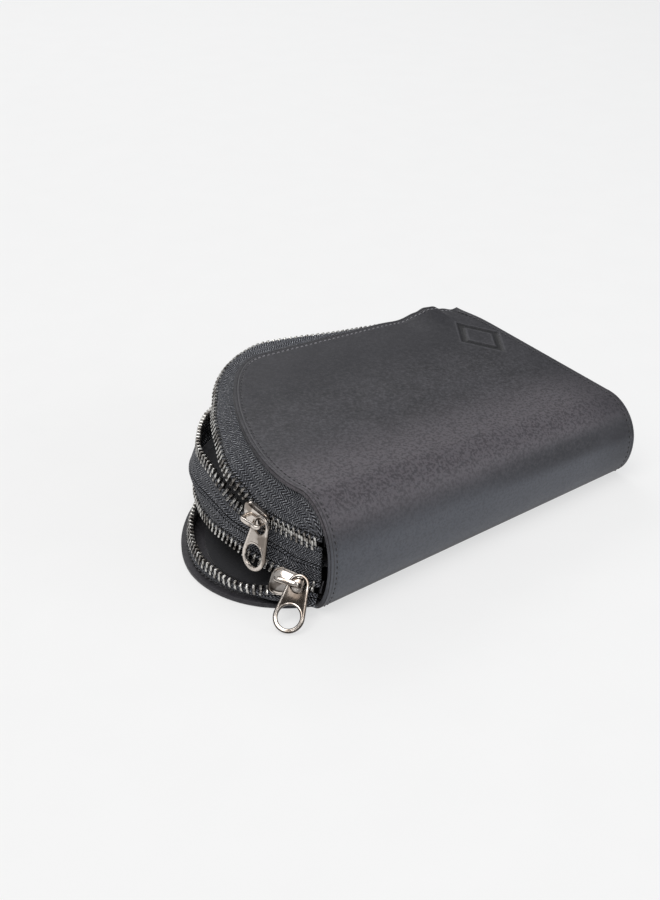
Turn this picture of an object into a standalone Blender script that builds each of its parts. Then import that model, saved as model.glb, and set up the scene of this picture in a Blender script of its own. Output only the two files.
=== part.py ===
"""Multi glasses organizer: folded leather case with two zips, a woven band and a divider."""
import math

import bmesh
import bpy
import numpy as np
from mathutils import Vector

# ---- driving dimensions, metres ----
MM = 0.001
HALF_LENGTH = 78.4 * MM          # half of the folded spine's length
SPINE_Y = -52.5 * MM             # outermost line of the folded spine
TOP_BEND_Y = -36.0 * MM          # where the spine bend meets the top panel
LOW_BEND_Y = -42.0 * MM          # where the spine bend meets the bottom panel
BACK_Y = 52.5 * MM               # back edge of the top panel
HEIGHT_MOUTH = 45.6 * MM         # case height over the spine bend at the mouth end
HEIGHT_FAR = 34.3 * MM           # case height over the spine bend at the far end
BACK_RISE = 7.6 * MM             # how much the top panel rises towards the back
LEATHER = 1.9 * MM               # leather thickness
LINING = 0.7 * MM                # lining cloth thickness
LINING_INSET = 9.0 * MM          # lining edge inside the leather's free edges
LINING_MOUTH_INSET = 3.2 * MM    # lining edge inside the leather's end at the mouth
TUCK = 1.2 * MM                  # how far the upper tape tucks under the leather's edge
GAP = 0.35 * MM                  # clearance between separate pieces
TAPE = 0.8 * MM                  # woven tape thickness
DIVIDER = 1.8 * MM               # stiff divider thickness
BEND_STEPS = 16                  # facets round the spine bend
SEAM_HALF_HEIGHT = 0.6 * MM
SEAM_HALF_DEPTH = 0.7 * MM
LOW_TUCK = 2.6 * MM              # lower tape lies this far inside the bottom panel's edge
LOW_FOLD_WIDTH = 2.6 * MM        # lower tape's flat width beside the closed zip
LOW_START_Z = 4.0 * MM           # lower tape's hidden edge beside the closed zip
DIVIDER_FAR_X = 72.5 * MM
DIVIDER_ROOT_Y = -47.2 * MM
DIVIDER_ROOT_Z = 18.9 * MM
DIVIDER_SETBACK = 1.2 * MM       # divider's edge inside the band's seam
GUSSET_X = 75.0 * MM
GUSSET_THICK = 1.0 * MM
GUSSET_FRONT_Y = -46.0 * MM
GUSSET_BACK_Y = 50.5 * MM
GUSSET_LOW_TOP = 18.0 * MM       # top edge of the lower end wall
GUSSET_HIGH_BASE = 21.4 * MM     # bottom edge of the upper end wall

TOOTH_PITCH = 2.5 * MM
TOOTH_WIDTH = 0.9 * MM
TOOTH_LENGTH = 2.0 * MM
TOOTH_DEPTH = 1.7 * MM
ROW_END = 1.0 * MM               # bead ends this far inside both ends of its row
BEAD = 1.2 * MM                  # bead cord that carries the teeth

SLIDER_LENGTH = 13.0 * MM
SLIDER_HALF_REAR = 3.8 * MM
SLIDER_HALF_FRONT = 5.0 * MM
SLIDER_PLATE = 0.9 * MM
SLIDER_CHANNEL = 4.4 * MM        # free height between the two slider plates
POST_WIDTH = 1.0 * MM
POST_LENGTH = 1.6 * MM
POST_SETBACK = 0.7 * MM          # post's front face behind the slider's front edge
CROWN_RISE = 4.2 * MM            # height of the bridge over the outer plate
CROWN_BAR = 1.1 * MM
CROWN_WIDTH = 1.5 * MM
CROWN_LENGTH = 10.0 * MM
CROWN_LEG = 1.3 * MM
CROWN_SETBACK = 1.2 * MM         # bridge's middle behind the slider's middle
CROWN_SOFT = 0.6 * MM            # corner chamfer
PULL_LENGTH = 21.0 * MM
PULL_HALF_EYE = 4.0 * MM
PULL_HALF_END = 5.7 * MM
PULL_THICK = 1.2 * MM
PULL_HEIGHT = 1.7 * MM           # pull's mid plane over the outer plate
PULL_A_LEAN = math.radians(15.0)
PULL_B_LEAN = math.radians(0.0)
EYE_RADIUS = 2.9 * MM
PULL_HOLE_RADIUS = 4.1 * MM
CUTTER_HALF = 3.0 * MM

END_STOP_SIZE = (1.8 * MM, 3.0 * MM, 2.6 * MM)
END_STOP_SHIFT = 0.9 * MM
SPINE_STOP_HALF = (0.7 * MM, 2.3 * MM, 1.1 * MM)
SPINE_STOP_AHEAD = 1.2 * MM
STOP_TUCK = 3.0 * MM             # spine stops sit this far behind the chain's end

# corner shape of the top panel and of the longer bottom panel, plan view
TOP_CORNER = ((-78.4, -36.0), (-86.8, -13.7), (-55.4, 52.5), (-30.8, 52.5))
LOW_MOUTH = ((-78.4, -42.0), (-92.0, -35.2), (-101.2, -22.8), (-101.2, -5.7))
LOW_CORNER = ((-101.2, -5.7), (-101.2, 20.9), (-68.4, 53.0), (-36.0, 53.0))

# run of each row of teeth: station, x, y, z in millimetres
ROW_A_UPPER = (
    (-1.0, -79.0, -48.0, 31.0), (0.0, -81.2, -33.0, 30.5), (0.20, -82.8, -19.6, 30.5),
    (0.26, -83.2, -14.2, 32.4), (0.30, -83.5, -10.6, 34.8), (0.36, -84.1, -4.0, 37.6),
    (0.42, -81.6, 4.5, 39.6), (0.50, -76.5, 14.5, 41.5), (0.60, -70.0, 26.6, 42.5),
    (0.70, -60.8, 39.5, 43.0), (0.80, -52.3, 49.8, 44.3), (0.90, -42.2, 57.4, 45.8),
    (1.0, -32.0, 61.6, 46.6), (1.08, -22.6, 63.4, 46.9), (1.16, -14.0, 61.9, 46.8),
    (1.24, -5.6, 59.8, 46.4), (1.32, 4.2, 57.8, 45.6), (1.42, 14.2, 56.6, 44.4),
    (2.0, 76.0, 55.6, 35.6))
ROW_A_LOWER = (
    (-1.0, -79.0, -48.0, 27.5), (0.0, -81.2, -33.0, 27.0), (0.20, -82.8, -19.6, 27.0),
    (0.26, -83.2, -14.2, 25.1), (0.30, -83.5, -10.4, 25.0), (0.36, -83.7, -4.5, 25.6),
    (0.42, -83.6, 4.0, 29.6), (0.50, -81.9, 13.7, 32.0), (0.60, -78.5, 25.5, 32.2),
    (0.70, -70.6, 37.9, 32.0), (0.80, -59.1, 48.7, 31.7), (0.90, -45.7, 55.1, 31.4),
    (1.0, -33.5, 57.2, 31.2), (2.0, 76.0, 55.6, 27.4))
ROW_B_UPPER = (
    (-1.0, -78.2, -46.2, 11.1), (-0.4, -81.9, -39.4, 11.1), (-0.1, -83.4, -36.8, 11.1),
    (0.05, -84.4, -31.6, 13.0), (0.12, -85.6, -26.6, 13.8), (0.22, -88.0, -19.0, 15.0),
    (0.30, -88.3, -9.0, 15.4), (0.40, -88.0, 1.4, 15.4), (0.50, -85.8, 12.2, 15.0),
    (0.60, -81.3, 23.6, 14.4), (0.70, -74.0, 36.5, 13.8), (0.80, -60.6, 46.2, 13.2),
    (0.90, -46.8, 53.4, 12.6), (1.0, -34.0, 56.0, 12.2), (2.0, 76.0, 55.6, 10.9))
ROW_B_LOWER = (
    (-1.0, -80.3, -47.2, 8.6), (-0.4, -84.0, -40.6, 8.6), (-0.1, -85.5, -38.0, 8.6),
    (0.05, -89.2, -34.6, 7.1), (0.12, -92.0, -30.2, 6.1), (0.22, -95.4, -23.6, 5.7),
    (0.30, -97.7, -15.8, 5.8), (0.40, -98.2, -5.0, 6.2), (0.50, -95.3, 6.8, 6.4),
    (0.60, -88.4, 19.5, 6.4), (0.70, -78.0, 31.4, 6.4), (0.80, -65.2, 41.6, 6.4),
    (0.90, -51.4, 49.4, 6.4), (1.0, -37.0, 54.2, 6.4), (2.0, 76.0, 55.6, 5.9))

BACK_STATIONS = (1.08, 1.16, 1.24, 1.32, 1.42, 1.7)    # sections along the straight back
LAST_STATION = 1.97              # tapes, seam and divider end just short of the far end stops
DIVIDER_START = -0.8             # station where the divider begins beside the spine
PLAN_STEP = 0.004                # station step for directions along an edge or a row
CLOSED_A = 0.20                  # station up to which the upper zip is closed
CLOSED_B = 0.06                  # station up to which the lower zip is closed
TURN = 0.14                      # stations over which teeth turn once the zip is open
UPPER_TURN = 0.55                # the top row turns only this far, so its teeth hang down
BULGE = 2.5 * MM                 # how far the band's seam bows out beside the mouth
BULGE_STATION = 0.62
BULGE_SPREAD = 0.16
SLIDER_A_STATION = 0.213
SLIDER_B_STATION = -0.05
SLIDER_SPAN = 0.07               # stations either side that set a slider's direction


def clear_scene():
    """Empty the startup scene."""
    for obj in list(bpy.data.objects):
        bpy.data.objects.remove(obj, do_unlink=True)


def material(name, colour, roughness, metallic=0.0):
    """One Principled material."""
    mat = bpy.data.materials.new(name)
    mat.use_nodes = True
    shader = mat.node_tree.nodes["Principled BSDF"]
    shader.inputs["Base Color"].default_value = (*colour, 1.0)
    shader.inputs["Roughness"].default_value = roughness
    shader.inputs["Metallic"].default_value = metallic
    return mat


def shade_round(obj, sharp_degrees=35.0):
    """Smooth shading over gentle facets, crisp at real corners."""
    mesh = obj.data
    mesh.polygons.foreach_set("use_smooth", [True] * len(mesh.polygons))
    bm = bmesh.new()
    bm.from_mesh(mesh)
    for edge in bm.edges:
        edge.smooth = edge.calc_face_angle(math.pi) < math.radians(sharp_degrees)
    bm.to_mesh(mesh)
    bm.free()


def add_mesh(name, verts, faces, mat, origin=None):
    """New object from vertices and faces; origin moves the object's own origin."""
    shift = Vector(origin) if origin is not None else Vector((0.0, 0.0, 0.0))
    mesh = bpy.data.meshes.new(name)
    mesh.from_pydata([tuple(Vector(v) - shift) for v in verts], [], faces)
    bm = bmesh.new()
    bm.from_mesh(mesh)
    bmesh.ops.recalc_face_normals(bm, faces=bm.faces)
    bm.to_mesh(mesh)
    bm.free()
    mesh.materials.append(mat)
    obj = bpy.data.objects.new(name, mesh)
    obj.location = shift
    bpy.context.scene.collection.objects.link(obj)
    return obj


def bezier(points, t):
    """Point of a cubic curve through four plan points, in metres."""
    a, b, c, d = (np.array(p) * MM for p in points)
    s = 1.0 - t
    return s ** 3 * a + 3 * s * s * t * b + 3 * s * t * t * c + t ** 3 * d


def top_z(x, y):
    """Upper face height of the tilted top panel."""
    middle = (HEIGHT_MOUTH + HEIGHT_FAR) / 2
    slope_x = (HEIGHT_FAR - HEIGHT_MOUTH) / (2 * HALF_LENGTH)
    slope_y = BACK_RISE / (BACK_Y - TOP_BEND_Y)
    return middle + slope_x * x + slope_y * (y - TOP_BEND_Y)


def top_edge(u):
    """Plan point of the top panel's free edge; u 0..1 mouth and corner, 1..2 back."""
    if u <= 1.0:
        return bezier(TOP_CORNER, max(u, 0.0))
    start = np.array(TOP_CORNER[3]) * MM
    return start + (u - 1.0) * (np.array((HALF_LENGTH, BACK_Y)) - start)


def low_edge(u):
    """Plan point of the bottom panel's free edge."""
    if u <= 0.4:
        return bezier(LOW_MOUTH, max(u, 0.0) / 0.4)
    if u <= 1.0:
        return bezier(LOW_CORNER, (u - 0.4) / 0.6)
    start = np.array(LOW_CORNER[3]) * MM
    return start + (u - 1.0) * (np.array((HALF_LENGTH, start[1])) - start)


def plan_normal(edge, u):
    """Outward plan normal of an edge curve."""
    d = edge(min(u + PLAN_STEP, 2.0)) - edge(max(u - PLAN_STEP, 0.0))
    d = d / np.linalg.norm(d)
    return np.array((-d[1], d[0]))


def row_point(keys, u):
    """Smooth point along a row of teeth (monotone cubic through its stations)."""
    us = np.array([k[0] for k in keys])
    pts = np.array([k[1:] for k in keys]) * MM
    slopes = np.diff(pts, axis=0) / np.diff(us)[:, None]
    tangents = np.zeros_like(pts)
    tangents[0] = slopes[0]
    tangents[-1] = slopes[-1]
    for i in range(1, len(us) - 1):
        for c in range(3):
            a, b = slopes[i - 1][c], slopes[i][c]
            tangents[i][c] = 2 * a * b / (a + b) if a * b > 0 else 0.0
    i = int(np.clip(np.searchsorted(us, u, side="right") - 1, 0, len(us) - 2))
    h = us[i + 1] - us[i]
    t = (u - us[i]) / h
    start = (2 * t ** 3 - 3 * t ** 2 + 1) * pts[i] + (t ** 3 - 2 * t ** 2 + t) * h * tangents[i]
    end = (3 * t ** 2 - 2 * t ** 3) * pts[i + 1] + (t ** 3 - t ** 2) * h * tangents[i + 1]
    return start + end


def bend_profile(height, inset, x):
    """Points round the spine bend from the top panel down to the bottom panel."""
    points = []
    for k in range(BEND_STEPS + 1):
        angle = math.pi / 2 - math.pi * k / BEND_STEPS
        start = TOP_BEND_Y if angle > 0 else LOW_BEND_Y
        depth = start - SPINE_Y - inset
        half = height / 2
        rise = (half - inset) * math.sin(angle)
        points.append((x, start - depth * math.cos(angle), half + rise))
    return points


def u_steps(first, last, mouth):
    """Stations: finer along the mouth and corner, coarser along the straight back."""
    return list(np.linspace(first, 1.0, mouth)) + list(BACK_STATIONS) + [last]


def skin(inset_z, edge_inset, mouth_inset=0.0):
    """Vertices, faces and rim of one skin of the folded cover; the insets move it inwards."""
    us = u_steps(0.0, 2.0, 26)
    mouth_x = -HALF_LENGTH + mouth_inset

    def edge_point(edge, u):
        p = edge(u)
        if 0.0 < u:
            n = plan_normal(edge, u)
            p = p - edge_inset * n
        return np.array((min(p[0], HALF_LENGTH), p[1]))

    top = [edge_point(top_edge, u) for u in us]
    low = [edge_point(low_edge, u) for u in us]
    left = bend_profile(HEIGHT_MOUTH, inset_z, mouth_x)
    right = bend_profile(HEIGHT_FAR, inset_z, HALF_LENGTH)
    n = len(us)
    top[0] = np.array((mouth_x, TOP_BEND_Y))
    low[0] = np.array((mouth_x, LOW_BEND_Y))
    verts = [(p[0], p[1], top_z(p[0], p[1]) - inset_z) for p in top]
    verts += [(p[0], p[1], inset_z) for p in low]
    first_left = len(verts)
    verts += left[1:-1]
    first_right = len(verts)
    verts += right
    top_face = list(range(n)) + [first_right]
    low_face = list(range(n, 2 * n)) + [first_right + BEND_STEPS]
    faces = [top_face, low_face]
    left_ids = [0] + list(range(first_left, first_left + BEND_STEPS - 1)) + [n]
    right_ids = list(range(first_right, first_right + BEND_STEPS + 1))
    for k in range(BEND_STEPS):
        faces.append((left_ids[k], left_ids[k + 1], right_ids[k + 1], right_ids[k]))
    rim = list(range(0, n)) + right_ids + list(range(2 * n - 1, n - 1, -1))
    rim += left_ids[1:-1][::-1]
    return verts, faces, rim


def folded_sheet(name, outer, inner, mat):
    """Closed folded sheet between two skins, rounded along its bend."""
    v1, f1, rim = outer
    v2, f2, _ = inner
    count = len(v1)
    faces = list(f1) + [tuple(i + count for i in f) for f in f2]
    for a, b in zip(rim, rim[1:] + rim[:1]):
        faces.append((a, b, b + count, a + count))
    obj = add_mesh(name, list(v1) + list(v2), faces, mat)
    shade_round(obj)
    return obj


def sweep(name, rings, mat, origin=None):
    """Closed solid through rings of equal vertex count."""
    size = len(rings[0])
    verts = [p for ring in rings for p in ring]
    faces = [tuple(range(size)), tuple(range(len(verts) - size, len(verts)))]
    for i in range(len(rings) - 1):
        for j in range(size):
            k = (j + 1) % size
            faces.append((i * size + j, i * size + k, (i + 1) * size + k, (i + 1) * size + j))
    return add_mesh(name, verts, faces, mat, origin)


def unit(v):
    """Unit vector."""
    v = np.asarray(v, dtype=float)
    return v / np.linalg.norm(v)


def hidden_top(u):
    """Where the upper tape meets the underside of the top panel's edge."""
    y = row_point(ROW_A_UPPER, min(u, 0.0))[1]
    at_bend = np.array((-HALF_LENGTH + TUCK, y, bend_inner_z(y)))
    if u < 0.0:
        return at_bend
    p = top_edge(u) - TUCK * plan_normal(top_edge, u)
    under = np.array((p[0], p[1], top_z(p[0], p[1]) - LEATHER - GAP - TAPE / 2))
    f = min(u / 0.12, 1.0)
    return (1 - f) * at_bend + f * under


def bend_inner_z(y):
    """Height of a tape's middle just inside the upper half of the bend at the mouth end."""
    clear = LEATHER + GAP + TAPE / 2
    f = min(max((TOP_BEND_Y - y) / (TOP_BEND_Y - SPINE_Y - clear), 0.0), 0.98)
    half = HEIGHT_MOUTH / 2
    return half + (half - clear) * math.sqrt(1.0 - f * f)


def hidden_low(u):
    """Where the lower tape meets the upper face of the bottom panel's edge."""
    q = row_point(ROW_B_LOWER, max(u, -1.0))
    if u < 0.0:
        return np.array((q[0], q[1], LOW_START_Z))
    p = low_edge(u) - LOW_TUCK * plan_normal(low_edge, u)
    f = min(u / 0.12, 1.0)
    start = np.array((q[0], q[1], LOW_START_Z))
    return (1 - f) * start + f * np.array((p[0], p[1], LEATHER + GAP + TAPE))


def tooth_direction(name, u):
    """Unit vector from a row's bead towards the row it meshes with."""
    if name == "a_upper":
        base = hidden_top(u)
        own = row_point(ROW_A_UPPER, u)
    elif name == "a_lower":
        base = row_point(ROW_B_UPPER, u)
        own = row_point(ROW_A_LOWER, u)
    elif name == "b_upper":
        base = row_point(ROW_A_LOWER, u)
        own = row_point(ROW_B_UPPER, u)
    else:
        base = hidden_low(u)
        own = row_point(ROW_B_LOWER, u)
    upper, lower = name[0] + "_upper", name[0] + "_lower"
    down = unit(row_point(ROWS[upper], -1.0) - row_point(ROWS[lower], -1.0))
    if name == upper:
        down = -down
    closed = CLOSED_A if name[0] == "a" else CLOSED_B
    f = float(np.clip((u - closed) / TURN, 0.0, UPPER_TURN if name == "a_upper" else 1.0))
    return unit((1 - f) * down + f * unit(own - base))


ROWS = {"a_upper": ROW_A_UPPER, "a_lower": ROW_A_LOWER,
        "b_upper": ROW_B_UPPER, "b_lower": ROW_B_LOWER}


def row_table(name):
    """Fine samples of a row and the length run up to each."""
    us = np.concatenate([np.linspace(-1.0, 1.0, 401), np.linspace(1.0, 2.0, 101)[1:]])
    pts = np.array([row_point(ROWS[name], u) for u in us])
    run = np.concatenate([[0.0], np.cumsum(np.linalg.norm(np.diff(pts, axis=0), axis=1))])
    return us, run


def row_frame(name, u):
    """Bead point, tooth direction and thickness direction at a station."""
    p = row_point(ROWS[name], u)
    ahead = row_point(ROWS[name], min(u + PLAN_STEP, 2.0))
    behind = row_point(ROWS[name], max(u - PLAN_STEP, -1.0))
    tangent = unit(ahead - behind)
    d = tooth_direction(name, u)
    d = unit(d - tangent * float(np.dot(d, tangent)))
    return p, d, np.cross(tangent, d)


def teeth_row(name, shift, mat):
    """Row of teeth on its bead cord as one closed comb."""
    us, run = row_table(name)
    half, depth = BEAD / 2, TOOTH_DEPTH / 2
    count = int((run[-1] - ROW_END - shift - TOOTH_PITCH) / TOOTH_PITCH)
    marks = [ROW_END]
    for k in range(count):
        centre = ROW_END + TOOTH_PITCH / 2 + shift + k * TOOTH_PITCH
        marks += [centre - TOOTH_WIDTH / 2, centre + TOOTH_WIDTH / 2]
    marks.append(run[-1] - ROW_END)
    verts = []
    faces = []
    low = []
    high = []
    for i, s in enumerate(marks):
        p, d, n = row_frame(name, float(np.interp(s, run, us)))
        base = len(verts)
        verts += [p - half * d - depth * n, p - half * d + depth * n,
                  p + half * d + depth * n, p + half * d - depth * n]
        low.append((base, base + 1, base + 2, base + 3))
        if 0 < i < len(marks) - 1:
            tip = half + TOOTH_LENGTH
            verts += [p + tip * d + depth * n, p + tip * d - depth * n]
            high.append((base + 4, base + 5))
        else:
            high.append(None)
    last = len(marks) - 1
    faces.append(low[0])
    faces.append(low[last])
    for i in range(last):
        a, b = low[i], low[i + 1]
        faces.append((a[0], b[0], b[1], a[1]))
        if i % 2 == 0:
            faces.append((a[1], b[1], b[2], a[2]))
            faces.append((a[2], b[2], b[3], a[3]))
            faces.append((a[3], b[3], b[0], a[0]))
        else:
            ha, hb = high[i], high[i + 1]
            faces.append((a[1], b[1], b[2], hb[0], ha[0], a[2]))
            faces.append((a[3], ha[1], hb[1], b[3], b[0], a[0]))
            faces.append((ha[0], hb[0], hb[1], ha[1]))
            faces.append((a[2], ha[0], ha[1], a[3]))
            faces.append((b[2], b[3], hb[1], hb[0]))
    return add_mesh("teeth_" + name, verts, faces, mat)


def strip(name, curves, us, mat, thick=TAPE):
    """Thin woven strip through two or more edge curves."""
    rings = []
    for u in us:
        points = [curve(u) for curve in curves]
        t = unit(curves[0](min(u + PLAN_STEP, 2.0)) - curves[0](max(u - PLAN_STEP, -1.0)))
        sides = []
        for k in range(len(points)):
            before, after = points[max(k - 1, 0)], points[min(k + 1, len(points) - 1)]
            sides.append(unit(np.cross(t, unit(after - before))) * thick / 2)
        ring = [p - w for p, w in zip(points, sides)]
        ring += [p + w for p, w in zip(points[::-1], sides[::-1])]
        rings.append(ring)
    return sweep(name, rings, mat)


def beside(name, u):
    """Edge of the tape just behind a row's bead."""
    p, d, _ = row_frame(name, u)
    return p - (BEAD / 2 + 2 * GAP) * d


def low_fold(u):
    """Line where the lower tape folds down beside the row of teeth."""
    p, d, _ = row_frame("b_lower", u)
    near = p - (BEAD / 2 + 2 * GAP) * d
    f = float(np.clip((u + 0.1) / 0.3, 0.0, 1.0))
    straight = (near + hidden_low(u)) / 2
    return (1 - f) * (near - LOW_FOLD_WIDTH * d) + f * straight


def seam_point(u):
    """Middle of the band between the two zips, bowed out a little beside the mouth."""
    u = min(max(u, -1.0), 2.0)
    lo, hi = max(u - PLAN_STEP, -1.0), min(u + PLAN_STEP, 2.0)
    t = row_point(ROW_A_LOWER, hi) - row_point(ROW_A_LOWER, lo)
    t = t + row_point(ROW_B_UPPER, hi) - row_point(ROW_B_UPPER, lo)
    outward = unit(np.array((-t[1], t[0], 0.0)))
    bulge = BULGE * math.exp(-((u - BULGE_STATION) / BULGE_SPREAD) ** 2)
    return (beside("a_lower", u) + beside("b_upper", u)) / 2 + bulge * outward


def band_mid(u, side):
    """Seam line of the middle band; side picks the edge above or below the seam."""
    up = unit(beside("a_lower", u) - beside("b_upper", u))
    return seam_point(u) + side * (SEAM_HALF_HEIGHT + GAP) * up


def seam_cord(mat, us):
    """Raised seam along the middle of the band."""
    rings = []
    for u in us:
        mid = seam_point(u)
        t = unit(seam_point(u + PLAN_STEP) - seam_point(u - PLAN_STEP))
        up = unit(beside("a_lower", u) - beside("b_upper", u))
        n = unit(np.cross(t, up)) * SEAM_HALF_DEPTH
        h = up * SEAM_HALF_HEIGHT
        rings.append([mid - h - n, mid + h - n, mid + h + n, mid - h + n])
    return sweep("band_seam", rings, mat)


def fan_panel(name, edge, inner, us, thick, mat):
    """Flat-lying panel between a curved outer edge and a straight line by the spine."""
    rings = []
    for u in us:
        a, b = edge(u), inner(u)
        up = np.array((0.0, 0.0, thick / 2))
        rings.append([a - up, b - up, b + up, a + up])
    return sweep(name, rings, mat)


def prism(name, outline, low, high, frame, mat, origin=None):
    """Prism of a 2-D outline; frame gives origin and two in-plane axes and the normal."""
    o, ax, ay, an = frame
    verts = [o + ax * p[0] + ay * p[1] + an * low for p in outline]
    verts += [o + ax * p[0] + ay * p[1] + an * high for p in outline]
    n = len(outline)
    faces = [tuple(range(n)), tuple(range(n, 2 * n))]
    for i in range(n):
        j = (i + 1) % n
        faces.append((i, j, n + j, n + i))
    return add_mesh(name, verts, faces, mat, origin)


def combine(target, other, operation):
    """Boolean another solid into the target and drop the helper."""
    bpy.context.view_layer.update()
    modifier = target.modifiers.new(operation, "BOOLEAN")
    modifier.operation = operation
    modifier.solver = "EXACT"
    modifier.object = other
    graph = bpy.context.evaluated_depsgraph_get()
    mesh = bpy.data.meshes.new_from_object(target.evaluated_get(graph))
    target.modifiers.clear()
    target.data = mesh
    bpy.data.objects.remove(other, do_unlink=True)


def slider_frame(which):
    """Centre, travel direction, across direction and outward normal of a slider."""
    station = SLIDER_A_STATION if which == "a" else SLIDER_B_STATION
    upper, lower = ROWS[which + "_upper"], ROWS[which + "_lower"]

    def middle(u):
        return (row_point(upper, u) + row_point(lower, u)) / 2

    travel = unit(middle(station + SLIDER_SPAN) - middle(station - SLIDER_SPAN))
    across = row_point(upper, -1.0) - row_point(lower, -1.0)
    across = unit(across - travel * float(np.dot(across, travel)))
    return middle(station), travel, across, np.cross(across, travel)


def slider(which, mat):
    """Slider body: outer plate, inner plate and the wedge post that parts the rows."""
    o, ax, ay, an = slider_frame(which)
    frame = (o, ax, ay, an)
    half = SLIDER_LENGTH / 2
    rear, front = SLIDER_HALF_REAR, SLIDER_HALF_FRONT
    shoulder, corner, notch = half - 2.2 * MM, half - 0.6 * MM, half - 1.2 * MM
    plate = [(-half, -rear * 0.8), (-half + 1.0 * MM, -rear), (0.0, -front * 0.92),
             (shoulder, -front), (corner, -front * 0.7), (notch, 0.0),
             (corner, front * 0.7), (shoulder, front), (0.0, front * 0.92),
             (-half + 1.0 * MM, rear), (-half, rear * 0.8)]
    gap = SLIDER_CHANNEL / 2
    body = prism("slider_" + which, plate, gap, gap + SLIDER_PLATE, frame, mat, o)
    inner = prism("slider_inner", plate, -gap - SLIDER_PLATE, -gap, frame, mat)
    reach = corner - POST_SETBACK
    wedge = [(reach - POST_LENGTH, 0.0), (reach - POST_LENGTH * 0.4, -POST_WIDTH / 2),
             (reach, -POST_WIDTH / 2), (reach, POST_WIDTH / 2),
             (reach - POST_LENGTH * 0.4, POST_WIDTH / 2)]
    post = prism("slider_post", wedge, -gap - SLIDER_PLATE / 2, gap + SLIDER_PLATE / 2, frame, mat)
    combine(body, post, "UNION")
    combine(body, inner, "UNION")
    return body


def crown(which, mat):
    """Bridge over the slider's outer plate that holds the pull."""
    o, ax, ay, an = slider_frame(which)
    foot = SLIDER_CHANNEL / 2 + SLIDER_PLATE + GAP
    h, leg = CROWN_LENGTH / 2, CROWN_LEG
    rise, under = CROWN_RISE - GAP, CROWN_RISE - GAP - CROWN_BAR
    soft = CROWN_SOFT
    outline = [(-h, 0.0), (-h + leg, 0.0), (-h + leg, under - soft), (-h + leg + soft, under),
               (h - leg - soft, under), (h - leg, under - soft), (h - leg, 0.0), (h, 0.0),
               (h, rise - soft), (h - soft, rise), (-h + soft, rise), (-h, rise - soft)]
    frame = (o + an * foot - ax * CROWN_SETBACK, ax, an, ay)
    return prism("slider_crown_" + which, outline, -CROWN_WIDTH / 2, CROWN_WIDTH / 2, frame, mat, o)


def pull_axis(which):
    """Centre of the pull's eye on the bridge's rear leg, hanging direction, face normal and side."""
    o, ax, ay, an = slider_frame(which)
    height = SLIDER_CHANNEL / 2 + SLIDER_PLATE + PULL_HEIGHT
    pivot = o + an * height - ax * (CROWN_SETBACK + CROWN_LENGTH / 2 - CROWN_LEG / 2)
    lean = PULL_A_LEAN if which == "a" else PULL_B_LEAN
    hang = unit(-ay * math.cos(lean) + an * math.sin(lean))
    face = unit(an * math.cos(lean) + ay * math.sin(lean))
    return pivot, hang, ax, face


def circle(cx, cy, r, n):
    """Plan points of a circle."""
    turns = [2 * math.pi * k / n for k in range(n)]
    return [(cx + r * math.cos(a), cy + r * math.sin(a)) for a in turns]


def pull(which, mat):
    """Pull tab: narrow eye round the bridge's rear leg, wide end with a finger hole."""
    pivot, hang, side, face = pull_axis(which)
    frame = (pivot, hang, side, face)
    eye, end = PULL_HALF_EYE, PULL_HALF_END
    centre = PULL_LENGTH - eye - end
    outline = []
    for k in range(8):
        a = math.radians(96 + 24 * k)
        outline.append((eye * math.cos(a), eye * math.sin(a)))
    for k in range(10):
        a = math.radians(-84 + 18.67 * k)
        outline.append((centre + end * math.cos(a), end * math.sin(a)))
    body = prism("pull_" + which, outline, -PULL_THICK / 2, PULL_THICK / 2, frame, mat, pivot)
    for x, radius, count in ((centre, PULL_HOLE_RADIUS, 18), (0.0, EYE_RADIUS, 14)):
        ring = circle(x, 0.0, radius, count)
        hole = prism("pull_hole", ring, -CUTTER_HALF, CUTTER_HALF, frame, mat)
        combine(body, hole, "DIFFERENCE")
    shade_round(body)
    return body


def stop_block(name, row, station, slide, size, mat):
    """Small metal stop clamped at the end of a row; slide moves it along the row."""
    p, d, n = row_frame(row, station)
    t = unit(np.cross(d, n))
    ahead = row_point(ROWS[row], station) - row_point(ROWS[row], station - PLAN_STEP)
    if float(np.dot(t, ahead)) < 0:
        t = -t
    o = p + t * slide
    a, b, c = size
    outline = [(-a / 2, -b / 2), (a / 2, -b / 2), (a / 2, b / 2), (-a / 2, b / 2)]
    return prism(name, outline, -c / 2, c / 2, (o, t, d, n), mat)


def spine_stop(which, mat):
    """Metal stop that joins both rows at the spine end of a zip."""
    chain_end = (row_point(ROWS[which + "_upper"], -1.0) + row_point(ROWS[which + "_lower"], -1.0)) / 2
    _, ax, ay, an = slider_frame(which)
    mid = chain_end + ax * SPINE_STOP_AHEAD + np.array((STOP_TUCK, 0.0, 0.0))
    a, b, c = SPINE_STOP_HALF
    outline = [(-a, -b), (a, -b), (a, b), (-a, b)]
    return prism("zip_spine_stop_" + which, outline, -c, c, (mid, ax, ay, an), mat)


def divider_edge(u):
    """Outer edge of the divider, just inside the band's seam."""
    t = seam_point(u + PLAN_STEP) - seam_point(u - PLAN_STEP)
    inward = unit(np.array((t[1], -t[0], 0.0)))
    p = seam_point(u) + inward * (DIVIDER_SETBACK + GAP)
    return np.array((min(p[0], DIVIDER_FAR_X), p[1], p[2]))


def divider_root(u):
    """Straight inner edge of the divider beside the spine."""
    stations, xs = (DIVIDER_START, 0.4, 1.0, 2.0), (-76.0 * MM, -62.0 * MM, -34.0 * MM, DIVIDER_FAR_X)
    return np.array((float(np.interp(u, stations, xs)), DIVIDER_ROOT_Y, DIVIDER_ROOT_Z))


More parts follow.
